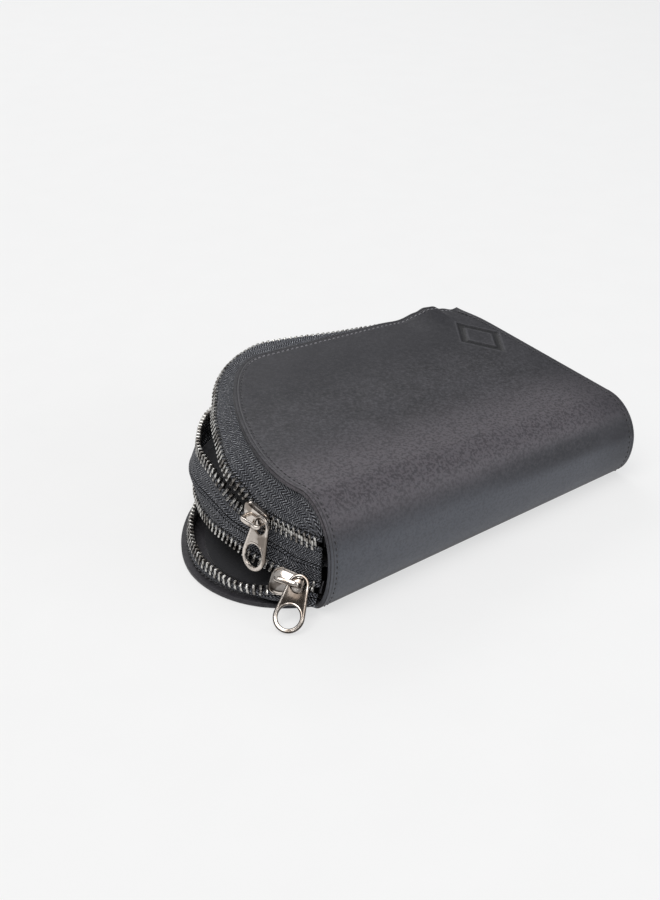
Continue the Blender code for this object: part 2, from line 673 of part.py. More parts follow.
def end_gusset(name, upper, mat):
    """Cloth wall that closes one compartment at the far end."""
    clear = LEATHER + LINING + 3 * GAP
    front, back = GUSSET_FRONT_Y, GUSSET_BACK_Y
    if upper:
        roof = top_z(GUSSET_X, back) - clear - TAPE
        shoulder = top_z(GUSSET_X, TOP_BEND_Y) - clear
        outline = [(front, GUSSET_HIGH_BASE), (back, GUSSET_HIGH_BASE), (back, roof),
                   (TOP_BEND_Y, shoulder), (-42.0 * MM, 28.0 * MM)]
    else:
        floor = clear + 0.4 * MM
        outline = [(front, GUSSET_LOW_TOP), (front, 9.0 * MM), (LOW_BEND_Y, floor), (back, floor),
                   (back, GUSSET_LOW_TOP)]
    frame = (np.array((GUSSET_X, 0.0, 0.0)), *np.roll(np.eye(3), -1, axis=0))
    return prism(name, outline, -GUSSET_THICK / 2, GUSSET_THICK / 2, frame, mat)


def main():
    """Build every piece."""
    clear_scene()
    leather = material("black_leather", (0.055, 0.052, 0.058), 0.55)
    cloth = material("lining_cloth", (0.030, 0.031, 0.038), 0.85)
    weave = material("woven_tape", (0.022, 0.025, 0.036), 0.80)
    silver = material("zip_metal", (0.72, 0.70, 0.66), 0.28, 1.0)
    nickel = material("nickel", (0.78, 0.75, 0.70), 0.18, 1.0)

    folded_sheet("outer_cover", skin(0.0, 0.0), skin(LEATHER, 0.0), leather)
    inset = LEATHER + GAP
    folded_sheet("lining", skin(inset, LINING_INSET, LINING_MOUTH_INSET),
                 skin(inset + LINING, LINING_INSET, LINING_MOUTH_INSET), cloth)

    for name in ("a_upper", "b_upper"):
        teeth_row(name, 0.0, silver)
    for name in ("a_lower", "b_lower"):
        teeth_row(name, TOOTH_PITCH / 2, silver)

    us = u_steps(-1.0, LAST_STATION, 34)
    strip("zip_tape_a_upper", (hidden_top, lambda u: beside("a_upper", u)), us, weave)
    strip("zip_tape_a_lower", (lambda u: beside("a_lower", u), lambda u: band_mid(u, 1.0)), us, weave)
    strip("zip_tape_b_upper", (lambda u: band_mid(u, -1.0), lambda u: beside("b_upper", u)), us, weave)
    strip("zip_tape_b_lower", (lambda u: beside("b_lower", u), low_fold, hidden_low), us, weave)
    seam_cord(weave, us)

    fan = u_steps(DIVIDER_START, LAST_STATION, 26)
    fan_panel("divider_panel", divider_edge, divider_root, fan, DIVIDER, cloth)
    end_gusset("end_gusset_upper", True, cloth)
    end_gusset("end_gusset_lower", False, cloth)

    for row in ROWS:
        stop_block("zip_end_stop_" + row, row, 2.0, END_STOP_SHIFT, END_STOP_SIZE, silver)
    for which in ("a", "b"):
        spine_stop(which, silver)
        slider(which, nickel)
        crown(which, nickel)
        pull(which, nickel)


main()
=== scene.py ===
"""Looks of the multi glasses organizer: leather cover, woven zip tapes, metal zips and studio."""

import math

import bmesh
import bpy
import numpy as np
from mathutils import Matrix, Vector, noise
from mathutils.kdtree import KDTree


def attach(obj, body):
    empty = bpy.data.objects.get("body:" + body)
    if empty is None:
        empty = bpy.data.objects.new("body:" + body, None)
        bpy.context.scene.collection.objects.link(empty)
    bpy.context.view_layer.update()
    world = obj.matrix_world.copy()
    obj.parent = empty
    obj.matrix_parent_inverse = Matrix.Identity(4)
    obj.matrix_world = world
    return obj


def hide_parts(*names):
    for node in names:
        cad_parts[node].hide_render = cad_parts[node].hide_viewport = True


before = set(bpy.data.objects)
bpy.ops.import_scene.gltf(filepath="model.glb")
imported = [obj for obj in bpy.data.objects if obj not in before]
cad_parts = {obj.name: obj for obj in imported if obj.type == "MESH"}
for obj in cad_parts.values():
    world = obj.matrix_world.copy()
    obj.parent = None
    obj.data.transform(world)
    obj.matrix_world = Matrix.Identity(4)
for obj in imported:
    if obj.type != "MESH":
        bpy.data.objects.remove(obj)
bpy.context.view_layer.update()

# ---- dimensions shared with the CAD model, metres ----
MM = 0.001
HALF_LENGTH = 78.4 * MM
SPINE_Y = -52.5 * MM
TOP_BEND_Y = -36.0 * MM
LOW_BEND_Y = -42.0 * MM
BACK_Y = 52.5 * MM
LOW_BACK_Y = 53.0 * MM
HEIGHT_MOUTH = 45.6 * MM
HEIGHT_FAR = 34.3 * MM
BACK_RISE = 7.6 * MM
LEATHER = 1.9 * MM
LINING = 0.7 * MM
GAP = 0.35 * MM
TAPE = 0.8 * MM
DIVIDER = 1.8 * MM
TUCK = 1.2 * MM
TOOTH_PITCH = 2.5 * MM
BEAD = 1.2 * MM
SLIDER_LENGTH = 13.0 * MM
SLIDER_HALF_REAR = 3.8 * MM
SLIDER_HALF_FRONT = 5.0 * MM
SLIDER_PLATE = 0.9 * MM
SLIDER_CHANNEL = 4.4 * MM
CROWN_RISE = 4.2 * MM
CROWN_BAR = 1.1 * MM
CROWN_LENGTH = 10.0 * MM
CROWN_LEG = 1.3 * MM
CROWN_SETBACK = 1.2 * MM
PULL_LENGTH = 21.0 * MM
PULL_HALF_EYE = 4.0 * MM
PULL_HALF_END = 5.7 * MM
PULL_THICK = 1.2 * MM
PULL_HEIGHT = 1.7 * MM
PULL_LEAN = {"a": math.radians(15.0), "b": 0.0}
EYE_RADIUS = 2.9 * MM
PULL_HOLE_RADIUS = 4.1 * MM

TOP_CORNER = ((-78.4, -36.0), (-86.8, -13.7), (-55.4, 52.5), (-30.8, 52.5))
LOW_MOUTH = ((-78.4, -42.0), (-92.0, -35.2), (-101.2, -22.8), (-101.2, -5.7))
LOW_CORNER = ((-101.2, -5.7), (-101.2, 20.9), (-68.4, 53.0), (-36.0, 53.0))

# run of each row of teeth: station, x, y, z in millimetres
ROWS = {
    "a_upper": (
        (-1.0, -79.0, -48.0, 31.0), (0.0, -81.2, -33.0, 30.5), (0.20, -82.8, -19.6, 30.5),
        (0.26, -83.2, -14.2, 32.4), (0.30, -83.5, -10.6, 34.8), (0.36, -84.1, -4.0, 37.6),
        (0.42, -81.6, 4.5, 39.6), (0.50, -76.5, 14.5, 41.5), (0.60, -70.0, 26.6, 42.5),
        (0.70, -60.8, 39.5, 43.0), (0.80, -52.3, 49.8, 44.3), (0.90, -42.2, 57.4, 45.8),
        (1.0, -32.0, 61.6, 46.6), (1.08, -22.6, 63.4, 46.9), (1.16, -14.0, 61.9, 46.8),
        (1.24, -5.6, 59.8, 46.4), (1.32, 4.2, 57.8, 45.6), (1.42, 14.2, 56.6, 44.4),
        (2.0, 76.0, 55.6, 35.6)),
    "a_lower": (
        (-1.0, -79.0, -48.0, 27.5), (0.0, -81.2, -33.0, 27.0), (0.20, -82.8, -19.6, 27.0),
        (0.26, -83.2, -14.2, 25.1), (0.30, -83.5, -10.4, 25.0), (0.36, -83.7, -4.5, 25.6),
        (0.42, -83.6, 4.0, 29.6), (0.50, -81.9, 13.7, 32.0), (0.60, -78.5, 25.5, 32.2),
        (0.70, -70.6, 37.9, 32.0), (0.80, -59.1, 48.7, 31.7), (0.90, -45.7, 55.1, 31.4),
        (1.0, -33.5, 57.2, 31.2), (2.0, 76.0, 55.6, 27.4)),
    "b_upper": (
        (-1.0, -78.2, -46.2, 11.1), (-0.4, -81.9, -39.4, 11.1), (-0.1, -83.4, -36.8, 11.1),
        (0.05, -84.4, -31.6, 13.0), (0.12, -85.6, -26.6, 13.8), (0.22, -88.0, -19.0, 15.0),
        (0.30, -88.3, -9.0, 15.4), (0.40, -88.0, 1.4, 15.4), (0.50, -85.8, 12.2, 15.0),
        (0.60, -81.3, 23.6, 14.4), (0.70, -74.0, 36.5, 13.8), (0.80, -60.6, 46.2, 13.2),
        (0.90, -46.8, 53.4, 12.6), (1.0, -34.0, 56.0, 12.2), (2.0, 76.0, 55.6, 10.9)),
    "b_lower": (
        (-1.0, -80.3, -47.2, 8.6), (-0.4, -84.0, -40.6, 8.6), (-0.1, -85.5, -38.0, 8.6),
        (0.05, -89.2, -34.6, 7.1), (0.12, -92.0, -30.2, 6.1), (0.22, -95.4, -23.6, 5.7),
        (0.30, -97.7, -15.8, 5.8), (0.40, -98.2, -5.0, 6.2), (0.50, -95.3, 6.8, 6.4),
        (0.60, -88.4, 19.5, 6.4), (0.70, -78.0, 31.4, 6.4), (0.80, -65.2, 41.6, 6.4),
        (0.90, -51.4, 49.4, 6.4), (1.0, -37.0, 54.2, 6.4), (2.0, 76.0, 55.6, 5.9))}
SLIDER_STATION = {"a": 0.213, "b": -0.05}
BODY = {"a": "upper", "b": "lower"}

# ---- looks, metres ----
EDGE_ROUND = 0.36 * MM           # rounding of the leather's cut edge
CREASE_INSET = 1.45 * MM         # pressed line along the edge
STITCH_INSET = 2.8 * MM
STITCH_PITCH = 2.4 * MM
STITCH_LENGTH = 1.75 * MM
THREAD_RADIUS = 0.27 * MM
MOTIF_CENTRE = (64.0 * MM, 23.0 * MM)
MOTIF_HALF = (10.5 * MM, 14.5 * MM)
MOTIF_DEPTH = 0.55 * MM
MOTIF_LINE = 0.84                # place of the pressed line, as a share of the half sizes
INNER_FACE = 20.0 * MM           # edge distance that marks the leather's inner face
PANEL_STRETCH = 1.0037           # length of the tilted top panel over its plan length
GRID_SPLIT = -20.0 * MM          # where the columns change from the mouth's spacing to the far end's
MERGE_STATION = 0.12             # station by which a tape's hidden edge lies on its panel
LOW_TUCK = 2.6 * MM              # how far the lowest tape reaches under its stitches
STATION_STEP = 0.004             # half the step used for a direction along a row
BEAD_REACH = BEAD / 2 + 2 * GAP  # from a row's middle to the edge of its tape
BEAD_RADIUS = 0.66 * MM
FIRST_TOOTH = 1.0 * MM
SLIDER_SOFT = 0.42 * MM
SLIDER_FLANGE = 0.55 * MM
PULL_SOFT = 0.24 * MM
# share of painted dark reflection on each pull's flat faces
PULL_DARK_REFLECTION = {"a": 0.35, "b": 1.0}
STOP_SOFT = 0.35 * MM
DIVIDER_END = 72.5 * MM

# ---- studio: metres, watts and linear colours ----
CAMERA_PLACE = (-0.3268, -0.3601, 0.2890)
CAMERA_DIRECTION = (0.54778, 0.67964, -0.48789)
CAMERA_LENS = 56.0
LIGHT_AIM = (0.0, 0.0, 0.02)
LIGHTS = (("key", (-0.55, -0.25, 1.25), 0.9, 0.9, 11.0, (1.0, 0.98, 0.95)),
          ("side", (0.75, -1.05, 0.55), 0.8, 0.5, 6.5, (0.92, 0.96, 1.0)),
          ("back", (0.35, 1.15, 0.95), 1.2, 0.5, 7.0, (1.0, 1.0, 1.0)))
SKY_LOW = (0.075, 0.062, 0.055)
SKY_HIGH = (0.95, 0.97, 1.0)
SKY_STRENGTH = 0.46
FLOOR_REACH = 6.0
FLOOR_Z = -0.0002
FLOOR_GLOW = 0.63


# ---------------------------------------------------------------- shared curves
def unit(v):
    """Unit vector, or unit vectors along the last axis."""
    v = np.asarray(v, dtype=float)
    return v / np.linalg.norm(v, axis=-1, keepdims=True)


def smoothstep(low, high, value):
    """Smooth 0..1 ramp between two values."""
    t = np.clip((value - low) / (high - low), 0.0, 1.0)
    return t * t * (3 - 2 * t)


def turns(count):
    """Angles evenly spaced round a circle."""
    return np.arange(count) * math.tau / count


def run_along(points):
    """Length run up to each point of a line."""
    return np.concatenate([[0.0], np.cumsum(np.linalg.norm(np.diff(points, axis=0), axis=1))])


def relaxed(values):
    """Inner values of a list moved towards their neighbours' mean."""
    return 0.25 * values[:-2] + 0.5 * values[1:-1] + 0.25 * values[2:]


def bezier(points, t):
    """Point of a cubic curve through four plan points, in metres."""
    a, b, c, d = (np.array(p) * MM for p in points)
    s = 1.0 - t
    return s ** 3 * a + 3 * s * s * t * b + 3 * s * t * t * c + t ** 3 * d


def top_z(x, y):
    """Upper face height of the tilted top panel."""
    slope_x = (HEIGHT_FAR - HEIGHT_MOUTH) / (2 * HALF_LENGTH)
    slope_y = BACK_RISE / (BACK_Y - TOP_BEND_Y)
    return (HEIGHT_MOUTH + HEIGHT_FAR) / 2 + slope_x * x + slope_y * (y - TOP_BEND_Y)


def top_edge(u):
    """Plan point of the top panel's free edge; u 0..1 mouth and corner, 1..2 back."""
    if u <= 1.0:
        return bezier(TOP_CORNER, max(u, 0.0))
    start = np.array(TOP_CORNER[3]) * MM
    return start + (u - 1.0) * (np.array((HALF_LENGTH, BACK_Y)) - start)


def low_edge(u):
    """Plan point of the bottom panel's free edge."""
    if u <= 0.4:
        return bezier(LOW_MOUTH, max(u, 0.0) / 0.4)
    if u <= 1.0:
        return bezier(LOW_CORNER, (u - 0.4) / 0.6)
    start = np.array(LOW_CORNER[3]) * MM
    return start + (u - 1.0) * (np.array((HALF_LENGTH, start[1])) - start)


def plan_normal(edge, u):
    """Outward plan normal of an edge curve."""
    d = unit(edge(min(u + STATION_STEP, 2.0)) - edge(max(u - STATION_STEP, 0.0)))
    return np.array((-d[1], d[0]))


def row_spline(keys):
    """Stations, points and monotone tangents of a row of teeth."""
    us = np.array([k[0] for k in keys])
    pts = np.array([k[1:] for k in keys]) * MM
    slopes = np.diff(pts, axis=0) / np.diff(us)[:, None]
    tangents = np.zeros_like(pts)
    tangents[0], tangents[-1] = slopes[0], slopes[-1]
    a, b = slopes[:-1], slopes[1:]
    same = a * b > 0
    tangents[1:-1] = np.where(same, 2 * a * b / np.where(same, a + b, 1.0), 0.0)
    return us, pts, tangents


SPLINES = {name: row_spline(keys) for name, keys in ROWS.items()}


def row_point(name, u):
    """Smooth point along a row of teeth."""
    us, pts, tangents = SPLINES[name]
    i = int(np.clip(np.searchsorted(us, u, side="right") - 1, 0, len(us) - 2))
    h = us[i + 1] - us[i]
    t = (u - us[i]) / h
    p = (2 * t ** 3 - 3 * t ** 2 + 1) * pts[i] + (t ** 3 - 2 * t ** 2 + t) * h * tangents[i]
    return p + (3 * t ** 2 - 2 * t ** 3) * pts[i + 1] + (t ** 3 - t ** 2) * h * tangents[i + 1]


def bend_inner_z(y):
    """Height of a tape's middle just inside the upper half of the bend at the mouth end."""
    clear = LEATHER + GAP + TAPE / 2
    f = min(max((TOP_BEND_Y - y) / (TOP_BEND_Y - SPINE_Y - clear), 0.0), 0.98)
    half = HEIGHT_MOUTH / 2
    return half + (half - clear) * math.sqrt(1.0 - f * f)


def hidden_top(u):
    """Where the upper tape meets the underside of the top panel's edge."""
    y = row_point("a_upper", min(u, 0.0))[1]
    at_bend = np.array((-HALF_LENGTH + TUCK, y, bend_inner_z(y)))
    if u < 0.0:
        return at_bend
    p = top_edge(u) - TUCK * plan_normal(top_edge, u)
    under = np.array((p[0], p[1], top_z(p[0], p[1]) - LEATHER - GAP - TAPE / 2))
    f = min(u / MERGE_STATION, 1.0)
    return (1 - f) * at_bend + f * under


def hidden_low(u):
    """Where the lower tape meets the upper face of the bottom panel's edge."""
    x, y, _ = row_point("b_lower", u)
    start = np.array((x, y, 4.0 * MM))
    if u < 0.0:
        return start
    p = low_edge(u) - LOW_TUCK * plan_normal(low_edge, u)
    f = min(u / MERGE_STATION, 1.0)
    return (1 - f) * start + f * np.array((p[0], p[1], LEATHER + GAP + TAPE))


def tooth_direction(name, u):
    """Unit vector from a row's bead towards the row it meshes with."""
    own = row_point(name, u)
    if name == "a_upper":
        base = hidden_top(u)
    elif name == "a_lower":
        base = row_point("b_upper", u)
    elif name == "b_upper":
        base = row_point("a_lower", u)
    else:
        base = hidden_low(u)
    upper, lower = name[0] + "_upper", name[0] + "_lower"
    down = unit(row_point(upper, -1.0) - row_point(lower, -1.0))
    if name == upper:
        down = -down
    closed = 0.20 if name[0] == "a" else 0.06
    f = float(np.clip((u - closed) / 0.14, 0.0, 0.55 if name == "a_upper" else 1.0))
    return unit((1 - f) * down + f * unit(own - base))


def row_table(name):
    """Fine samples of a row and the length run up to each."""
    us = np.concatenate([np.linspace(-1.0, 1.0, 401), np.linspace(1.0, 2.0, 101)[1:]])
    pts = np.array([row_point(name, u) for u in us])
    return us, run_along(pts)


def row_frame(name, u):
    """Bead point, tooth direction and thickness direction at a station."""
    lo, hi = max(u - STATION_STEP, -1.0), min(u + STATION_STEP, 2.0)
    tangent = unit(row_point(name, hi) - row_point(name, lo))
    d = tooth_direction(name, u)
    d = unit(d - tangent * float(np.dot(d, tangent)))
    return row_point(name, u), d, np.cross(tangent, d)


def beside(name, u):
    """Edge of the tape just behind a row's bead."""
    p, d, _ = row_frame(name, u)
    return p - BEAD_REACH * d


def low_fold(u):
    """Line where the lower tape folds down beside the row of teeth."""
    p, d, _ = row_frame("b_lower", u)
    near = p - BEAD_REACH * d
    f = float(np.clip((u + 0.1) / 0.3, 0.0, 1.0))
    return (1 - f) * (near - LOW_TUCK * d) + f * (near + hidden_low(u)) / 2


def seam_point(u):
    """Middle of the band between the two zips, bowed out a little beside the mouth."""
    u = min(max(u, -1.0), 2.0)
    lo, hi = max(u - STATION_STEP, -1.0), min(u + STATION_STEP, 2.0)
    t = (row_point("a_lower", hi) - row_point("a_lower", lo)
         + row_point("b_upper", hi) - row_point("b_upper", lo))
    outward = unit(np.array((-t[1], t[0], 0.0)))
    bulge = 2.5 * MM * math.exp(-((u - 0.62) / 0.16) ** 2)
    return (beside("a_lower", u) + beside("b_upper", u)) / 2 + bulge * outward


def band_mid(u, side):
    """Seam line of the middle band; side picks the edge above or below the seam."""
    up = unit(beside("a_lower", u) - beside("b_upper", u))
    return seam_point(u) + side * (0.6 * MM + GAP) * up


def slider_frame(which):
    """Centre of a slider and its axes as rows: travel, across, outwards."""
    up, low, station, reach = which + "_upper", which + "_lower", SLIDER_STATION[which], 0.07
    mid, back, ahead = ((row_point(up, s) + row_point(low, s)) / 2
                        for s in (station, station - reach, station + reach))
    travel = unit(ahead - back)
    across = row_point(up, -1.0) - row_point(low, -1.0)
    across = unit(across - travel * float(np.dot(across, travel)))
    return mid, np.array((travel, across, np.cross(across, travel)))


# ---------------------------------------------------------------- mesh helpers
def new_object(name, data):
    """Object linked into the scene."""
    obj = bpy.data.objects.new(name, data)
    bpy.context.scene.collection.objects.link(obj)
    return obj


def piece(name, shape, material, body, replaces=(), slot=None, crisp=None, **attributes):
    """Mesh object riding on a body; crisp is the angle above which edges stay sharp."""
    verts, faces = shape
    mesh = bpy.data.meshes.new(name)
    mesh.from_pydata(np.asarray(verts).tolist(), [], [tuple(int(i) for i in f) for f in faces])
    bm = bmesh.new()
    bm.from_mesh(mesh)
    bmesh.ops.recalc_face_normals(bm, faces=bm.faces)
    bm.to_mesh(mesh)
    bm.free()
    for key, values in attributes.items():
        attribute = mesh.attributes.new(key, "FLOAT", "POINT")
        attribute.data.foreach_set("value", np.asarray(values, dtype=np.float32).ravel())
    mesh.shade_smooth()
    if crisp is not None:
        mesh.set_sharp_from_angle(angle=math.radians(crisp))
    mesh.materials.append(material)
    obj = new_object(name, mesh)
    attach(obj, body)
    if replaces:
        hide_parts(*replaces)
    return obj


def placed(shape, origin, axes):
    """A shape moved from its own axes to the frame's."""
    verts, faces = shape
    return origin + verts @ axes, faces


def slab(outer, inner):
    """Closed solid between two equal grids of points."""
    rows, cols = outer.shape[:2]
    count = rows * cols
    index = np.arange(count).reshape(rows, cols)
    corners = (index[:-1, :-1], index[1:, :-1], index[1:, 1:], index[:-1, 1:])
    front = np.stack(corners, -1).reshape(-1, 4)
    loop = np.concatenate([index[0, :-1], index[:-1, -1], index[-1, :0:-1], index[:0:-1, 0]])
    after = np.roll(loop, -1)
    rim_faces = np.stack([loop, after, after + count, loop + count], -1)
    verts = np.concatenate([outer.reshape(-1, 3), inner.reshape(-1, 3)])
    return verts, np.concatenate([front, front[:, ::-1] + count, rim_faces])


def thickened(grid, offset):
    """Closed solid reaching an equal offset to both sides of a grid."""
    return slab(grid + offset, grid - offset)


def tube(rings, closed=False):
    """Closed tube through rings of equal count; closed joins the last ring to the first."""
    rings = np.asarray(rings)
    n, k = rings.shape[:2]
    index = np.arange(n * k).reshape(n, k)
    after = np.roll(index, -1, axis=0) if closed else index[1:]
    here = index if closed else index[:-1]
    faces = np.stack([here, np.roll(here, -1, 1), np.roll(after, -1, 1), after], -1).reshape(-1, 4).tolist()
    if not closed:
        faces += [index[0, ::-1].tolist(), index[-1].tolist()]
    return rings.reshape(-1, 3), faces


def joined(parts):
    """Vertices and faces of several closed shapes in one mesh."""
    verts, faces, base = [], [], 0
    for v, f in parts:
        verts.append(np.asarray(v))
        faces += [tuple(int(i) + base for i in face) for face in f]
        base += len(v)
    return np.concatenate(verts), faces


def grid_normals(points):
    """Normal at each point of a grid."""
    return unit(np.cross(np.gradient(points, axis=0), np.gradient(points, axis=1)))


def graded(start, stop, near, step, zone=(), zone_step=None):
    """Positions from start to stop: graded near both ends, even between, finer inside a zone."""
    sign = 1.0 if stop > start else -1.0
    first, last = start + sign * near[-1], stop - sign * near[-1]
    marks = [first, *sorted(zone, key=lambda v: sign * v), last]
    middle = []
    for k, (a, b) in enumerate(zip(marks[:-1], marks[1:])):
        size = zone_step if len(zone) and k == 1 else step
        middle.append(np.linspace(a, b, max(2, round(abs(b - a) / size) + 1))[:-1])
    return np.concatenate([start + sign * near[:-1], *middle, [last], stop - sign * near[:-1][::-1]])


def resample(points, step, phase=0.0):
    """Distances along a line every step, with the interpolated points."""
    run = run_along(points)
    at = np.arange(phase, run[-1] - step * 0.5, step)
    return at, lambda s, v=points: np.stack([np.interp(s, run, v[:, k]) for k in range(v.shape[1])], -1)


# ---------------------------------------------------------------- leather cover and lining
def left_limit(edge, inset, corner):
    """Samples (y, x) of a panel's mouth and corner edge moved inwards, from the bend to the back."""
    us = np.linspace(0.0, 1.0, 400)
    pts = np.array([edge(u) - inset * plan_normal(edge, u) for u in us])
    pts = pts[pts[:, 1] > corner[1] + 0.02 * MM]
    pts = np.concatenate([[corner], pts])
    return np.maximum.accumulate(pts[:, 1]), pts[:, 0]


def height_at(x):
    """Case height over the bend."""
    return HEIGHT_MOUTH + (HEIGHT_FAR - HEIGHT_MOUTH) * (x + HALF_LENGTH) / (2 * HALF_LENGTH)


def wrapped_grid(edge_inset, end_inset, near, step, zones=((), (), None)):
    """Grid over the folded sheet's outer skin: rows run from the top back edge round the bend to the
    bottom back edge, columns from the mouth to the far end."""
    zone_y, zone_x, zone_step = zones
    left_columns = bend_rows = round(58.0 * MM / step)
    far = graded(HALF_LENGTH - end_inset, GRID_SPLIT, near, step, zone_x, zone_step)[::-1]
    far = far[far > GRID_SPLIT + step * 0.6]
    bend_left = -HALF_LENGTH + end_inset
    rows = []

    def columns(left):
        start = left + near
        return np.concatenate([start, np.linspace(start[-1], GRID_SPLIT, left_columns)[1:], far])

    def panel(edge, bend_y, values, level):
        y, x = left_limit(edge, edge_inset, (bend_left, bend_y))
        for value in values:
            xs = columns(float(np.interp(value, y, x)))
            rows.append(np.stack([xs, np.full_like(xs, value), level(xs, value)], -1))

    top_ys = graded(BACK_Y - edge_inset, TOP_BEND_Y, near, step, zone_y, zone_step)
    panel(top_edge, TOP_BEND_Y, [*top_ys[top_ys > TOP_BEND_Y + step * 0.5], TOP_BEND_Y], top_z)
    xs = columns(bend_left)
    half = height_at(xs) / 2
    for angle in np.linspace(math.pi / 2, -math.pi / 2, bend_rows)[1:-1]:
        start = TOP_BEND_Y if angle > 0 else LOW_BEND_Y
        across = np.full_like(xs, start - (start - SPINE_Y) * math.cos(angle))
        rows.append(np.stack([xs, across, half + half * math.sin(angle)], -1))
    low_ys = graded(LOW_BACK_Y - edge_inset, LOW_BEND_Y, near, step)[::-1]
    low_ys = [LOW_BEND_Y, *low_ys[low_ys > LOW_BEND_Y + step * 0.5]]
    panel(low_edge, LOW_BEND_Y, low_ys, lambda xs, _: np.zeros_like(xs))
    return np.array(rows)


def edge_distance(points):
    """Distance of each grid point from the grid's border."""
    border = np.concatenate([points[0], points[:, -1], points[-1, ::-1], points[::-1, 0]])
    at, along = resample(border, 0.12 * MM)
    fine = along(at)
    tree = KDTree(len(fine))
    for i, p in enumerate(fine):
        tree.insert(p, i)
    tree.balance()
    return np.array([tree.find(p)[2] for p in points.reshape(-1, 3)]).reshape(points.shape[:2])


def rounding(d, radius):
    """How far a surface drops towards a rounded edge."""
    inside = np.clip(radius - d, 0.0, radius)
    return radius - np.sqrt(radius ** 2 - inside ** 2)


def edge_profile(d):
    """Height of the leather's outer face near its edge: pressed strip, crease and seam groove."""
    strip = -0.04 * MM * (1 - smoothstep(1.2 * MM, 1.9 * MM, d))
    crease = -0.13 * MM * np.exp(-((d - CREASE_INSET) / (0.16 * MM)) ** 2)
    seam = -0.08 * MM * np.exp(-((d - STITCH_INSET) / (0.50 * MM)) ** 2)
    return strip + crease + seam


def motif_depth(points):
    """Pressed plain diamond outline near the far back corner of the top panel."""
    dx = np.abs(points[..., 0] - MOTIF_CENTRE[0]) / MOTIF_HALF[0]
    dy = np.abs(points[..., 1] - MOTIF_CENTRE[1]) / MOTIF_HALF[1]
    reach = MOTIF_HALF[0] * MOTIF_HALF[1] / math.hypot(*MOTIF_HALF)
    away = np.abs(dx + dy - MOTIF_LINE) * reach
    on_top = points[..., 2] > 20.0 * MM
    return np.where(on_top, MOTIF_DEPTH * (1 - smoothstep(0.9 * MM, 1.5 * MM, away)), 0.0)


def soft_waves(points, size, seed):
    """Smooth random height -1..1 at each point."""
    flat = points.reshape(-1, 3) / size
    shift = Vector((seed * 7.3, seed * 3.1, seed * 5.7))
    values = [noise.noise(Vector(p) + shift) for p in flat]
    return np.array(values).reshape(points.shape[:-1])


def edge_lift(points):
    """The stiff top panel waves a little along its back edge near the far corner."""
    x, y = points[..., 0] / MM, points[..., 1] / MM
    near = np.exp(-((BACK_Y / MM - y) / 11.0) ** 2) * smoothstep(20.0, 30.0, points[..., 2] / MM)
    wave = 2.1 * np.exp(-((x - 60.3) / 5.4) ** 4) + 1.2 * np.exp(-((x - 52.5) / 5.5) ** 2)
    wave -= 1.9 * np.exp(-((x - 75.5) / 4.6) ** 2) + 1.2 * np.exp(-((x - 84.0) / 4.0) ** 2)
    wave -= 0.6 * np.exp(-((x - 43.0) / 6.0) ** 2)
    return MM * wave * near


def leather_cover(material):
    """The one-piece leather cover, folded round the spine."""
    near = np.array((0.0, 0.12, 0.28, 0.5, 0.8, 1.1, 1.3, 1.45, 1.6, 1.85, 2.2, 2.5, 2.8, 3.1, 3.6, 4.4,
                     5.4)) * MM
    zone_x = (MOTIF_CENTRE[0] - 11.2 * MM, HALF_LENGTH - 5.5 * MM)
    zone_y = (MOTIF_CENTRE[1] - 15.2 * MM, MOTIF_CENTRE[1] + 15.2 * MM)
    grid = wrapped_grid(0.0, 0.0, near, 1.2 * MM, (zone_y, zone_x, 0.42 * MM))
    normals = grid_normals(grid)
    d = edge_distance(grid)
    fade = smoothstep(4.0 * MM, 16.0 * MM, d)
    top = smoothstep(2.0 * MM, 12.0 * MM, grid[..., 2])
    waves = 0.42 * soft_waves(grid, 38.0 * MM, 1) + 0.16 * soft_waves(grid, 13.0 * MM, 2)
    lift = MM * waves * fade * top + edge_lift(grid)
    height = lift + edge_profile(d) - motif_depth(grid)
    drop = rounding(d, EDGE_ROUND)
    outer = grid + normals * (height - drop)[..., None]
    inner = grid + normals * (lift - LEATHER + drop)[..., None]
    run = run_along(grid[:, -40])
    across = np.repeat(run[:, None], grid.shape[1], axis=1)
    bend_start = (BACK_Y - TOP_BEND_Y) * PANEL_STRETCH
    obj = piece("leather_cover", slab(outer, inner), material, "case", ["outer_cover"], "leather",
                edge=np.concatenate([d.ravel(), np.full(d.size, INNER_FACE)]) / MM,
                bend=np.tile((across - bend_start).ravel(), 2) / MM)
    return grid, normals


def lining_sheet(material):
    """Cloth lining bonded inside the cover."""
    near = np.array((0.0, 0.25, 0.7, 1.4)) * MM
    grid = wrapped_grid(9.0 * MM, 3.2 * MM, near, 2.6 * MM)
    normals = grid_normals(grid)
    ripple = 0.12 * MM * soft_waves(grid, 9.0 * MM, 3)
    outer = grid - normals * (LEATHER + GAP)
    inner = grid - normals * (LEATHER + GAP + LINING + ripple)[..., None]
    obj = piece("lining_sheet", slab(outer, inner), material, "case", ["lining"], "lining_cloth")


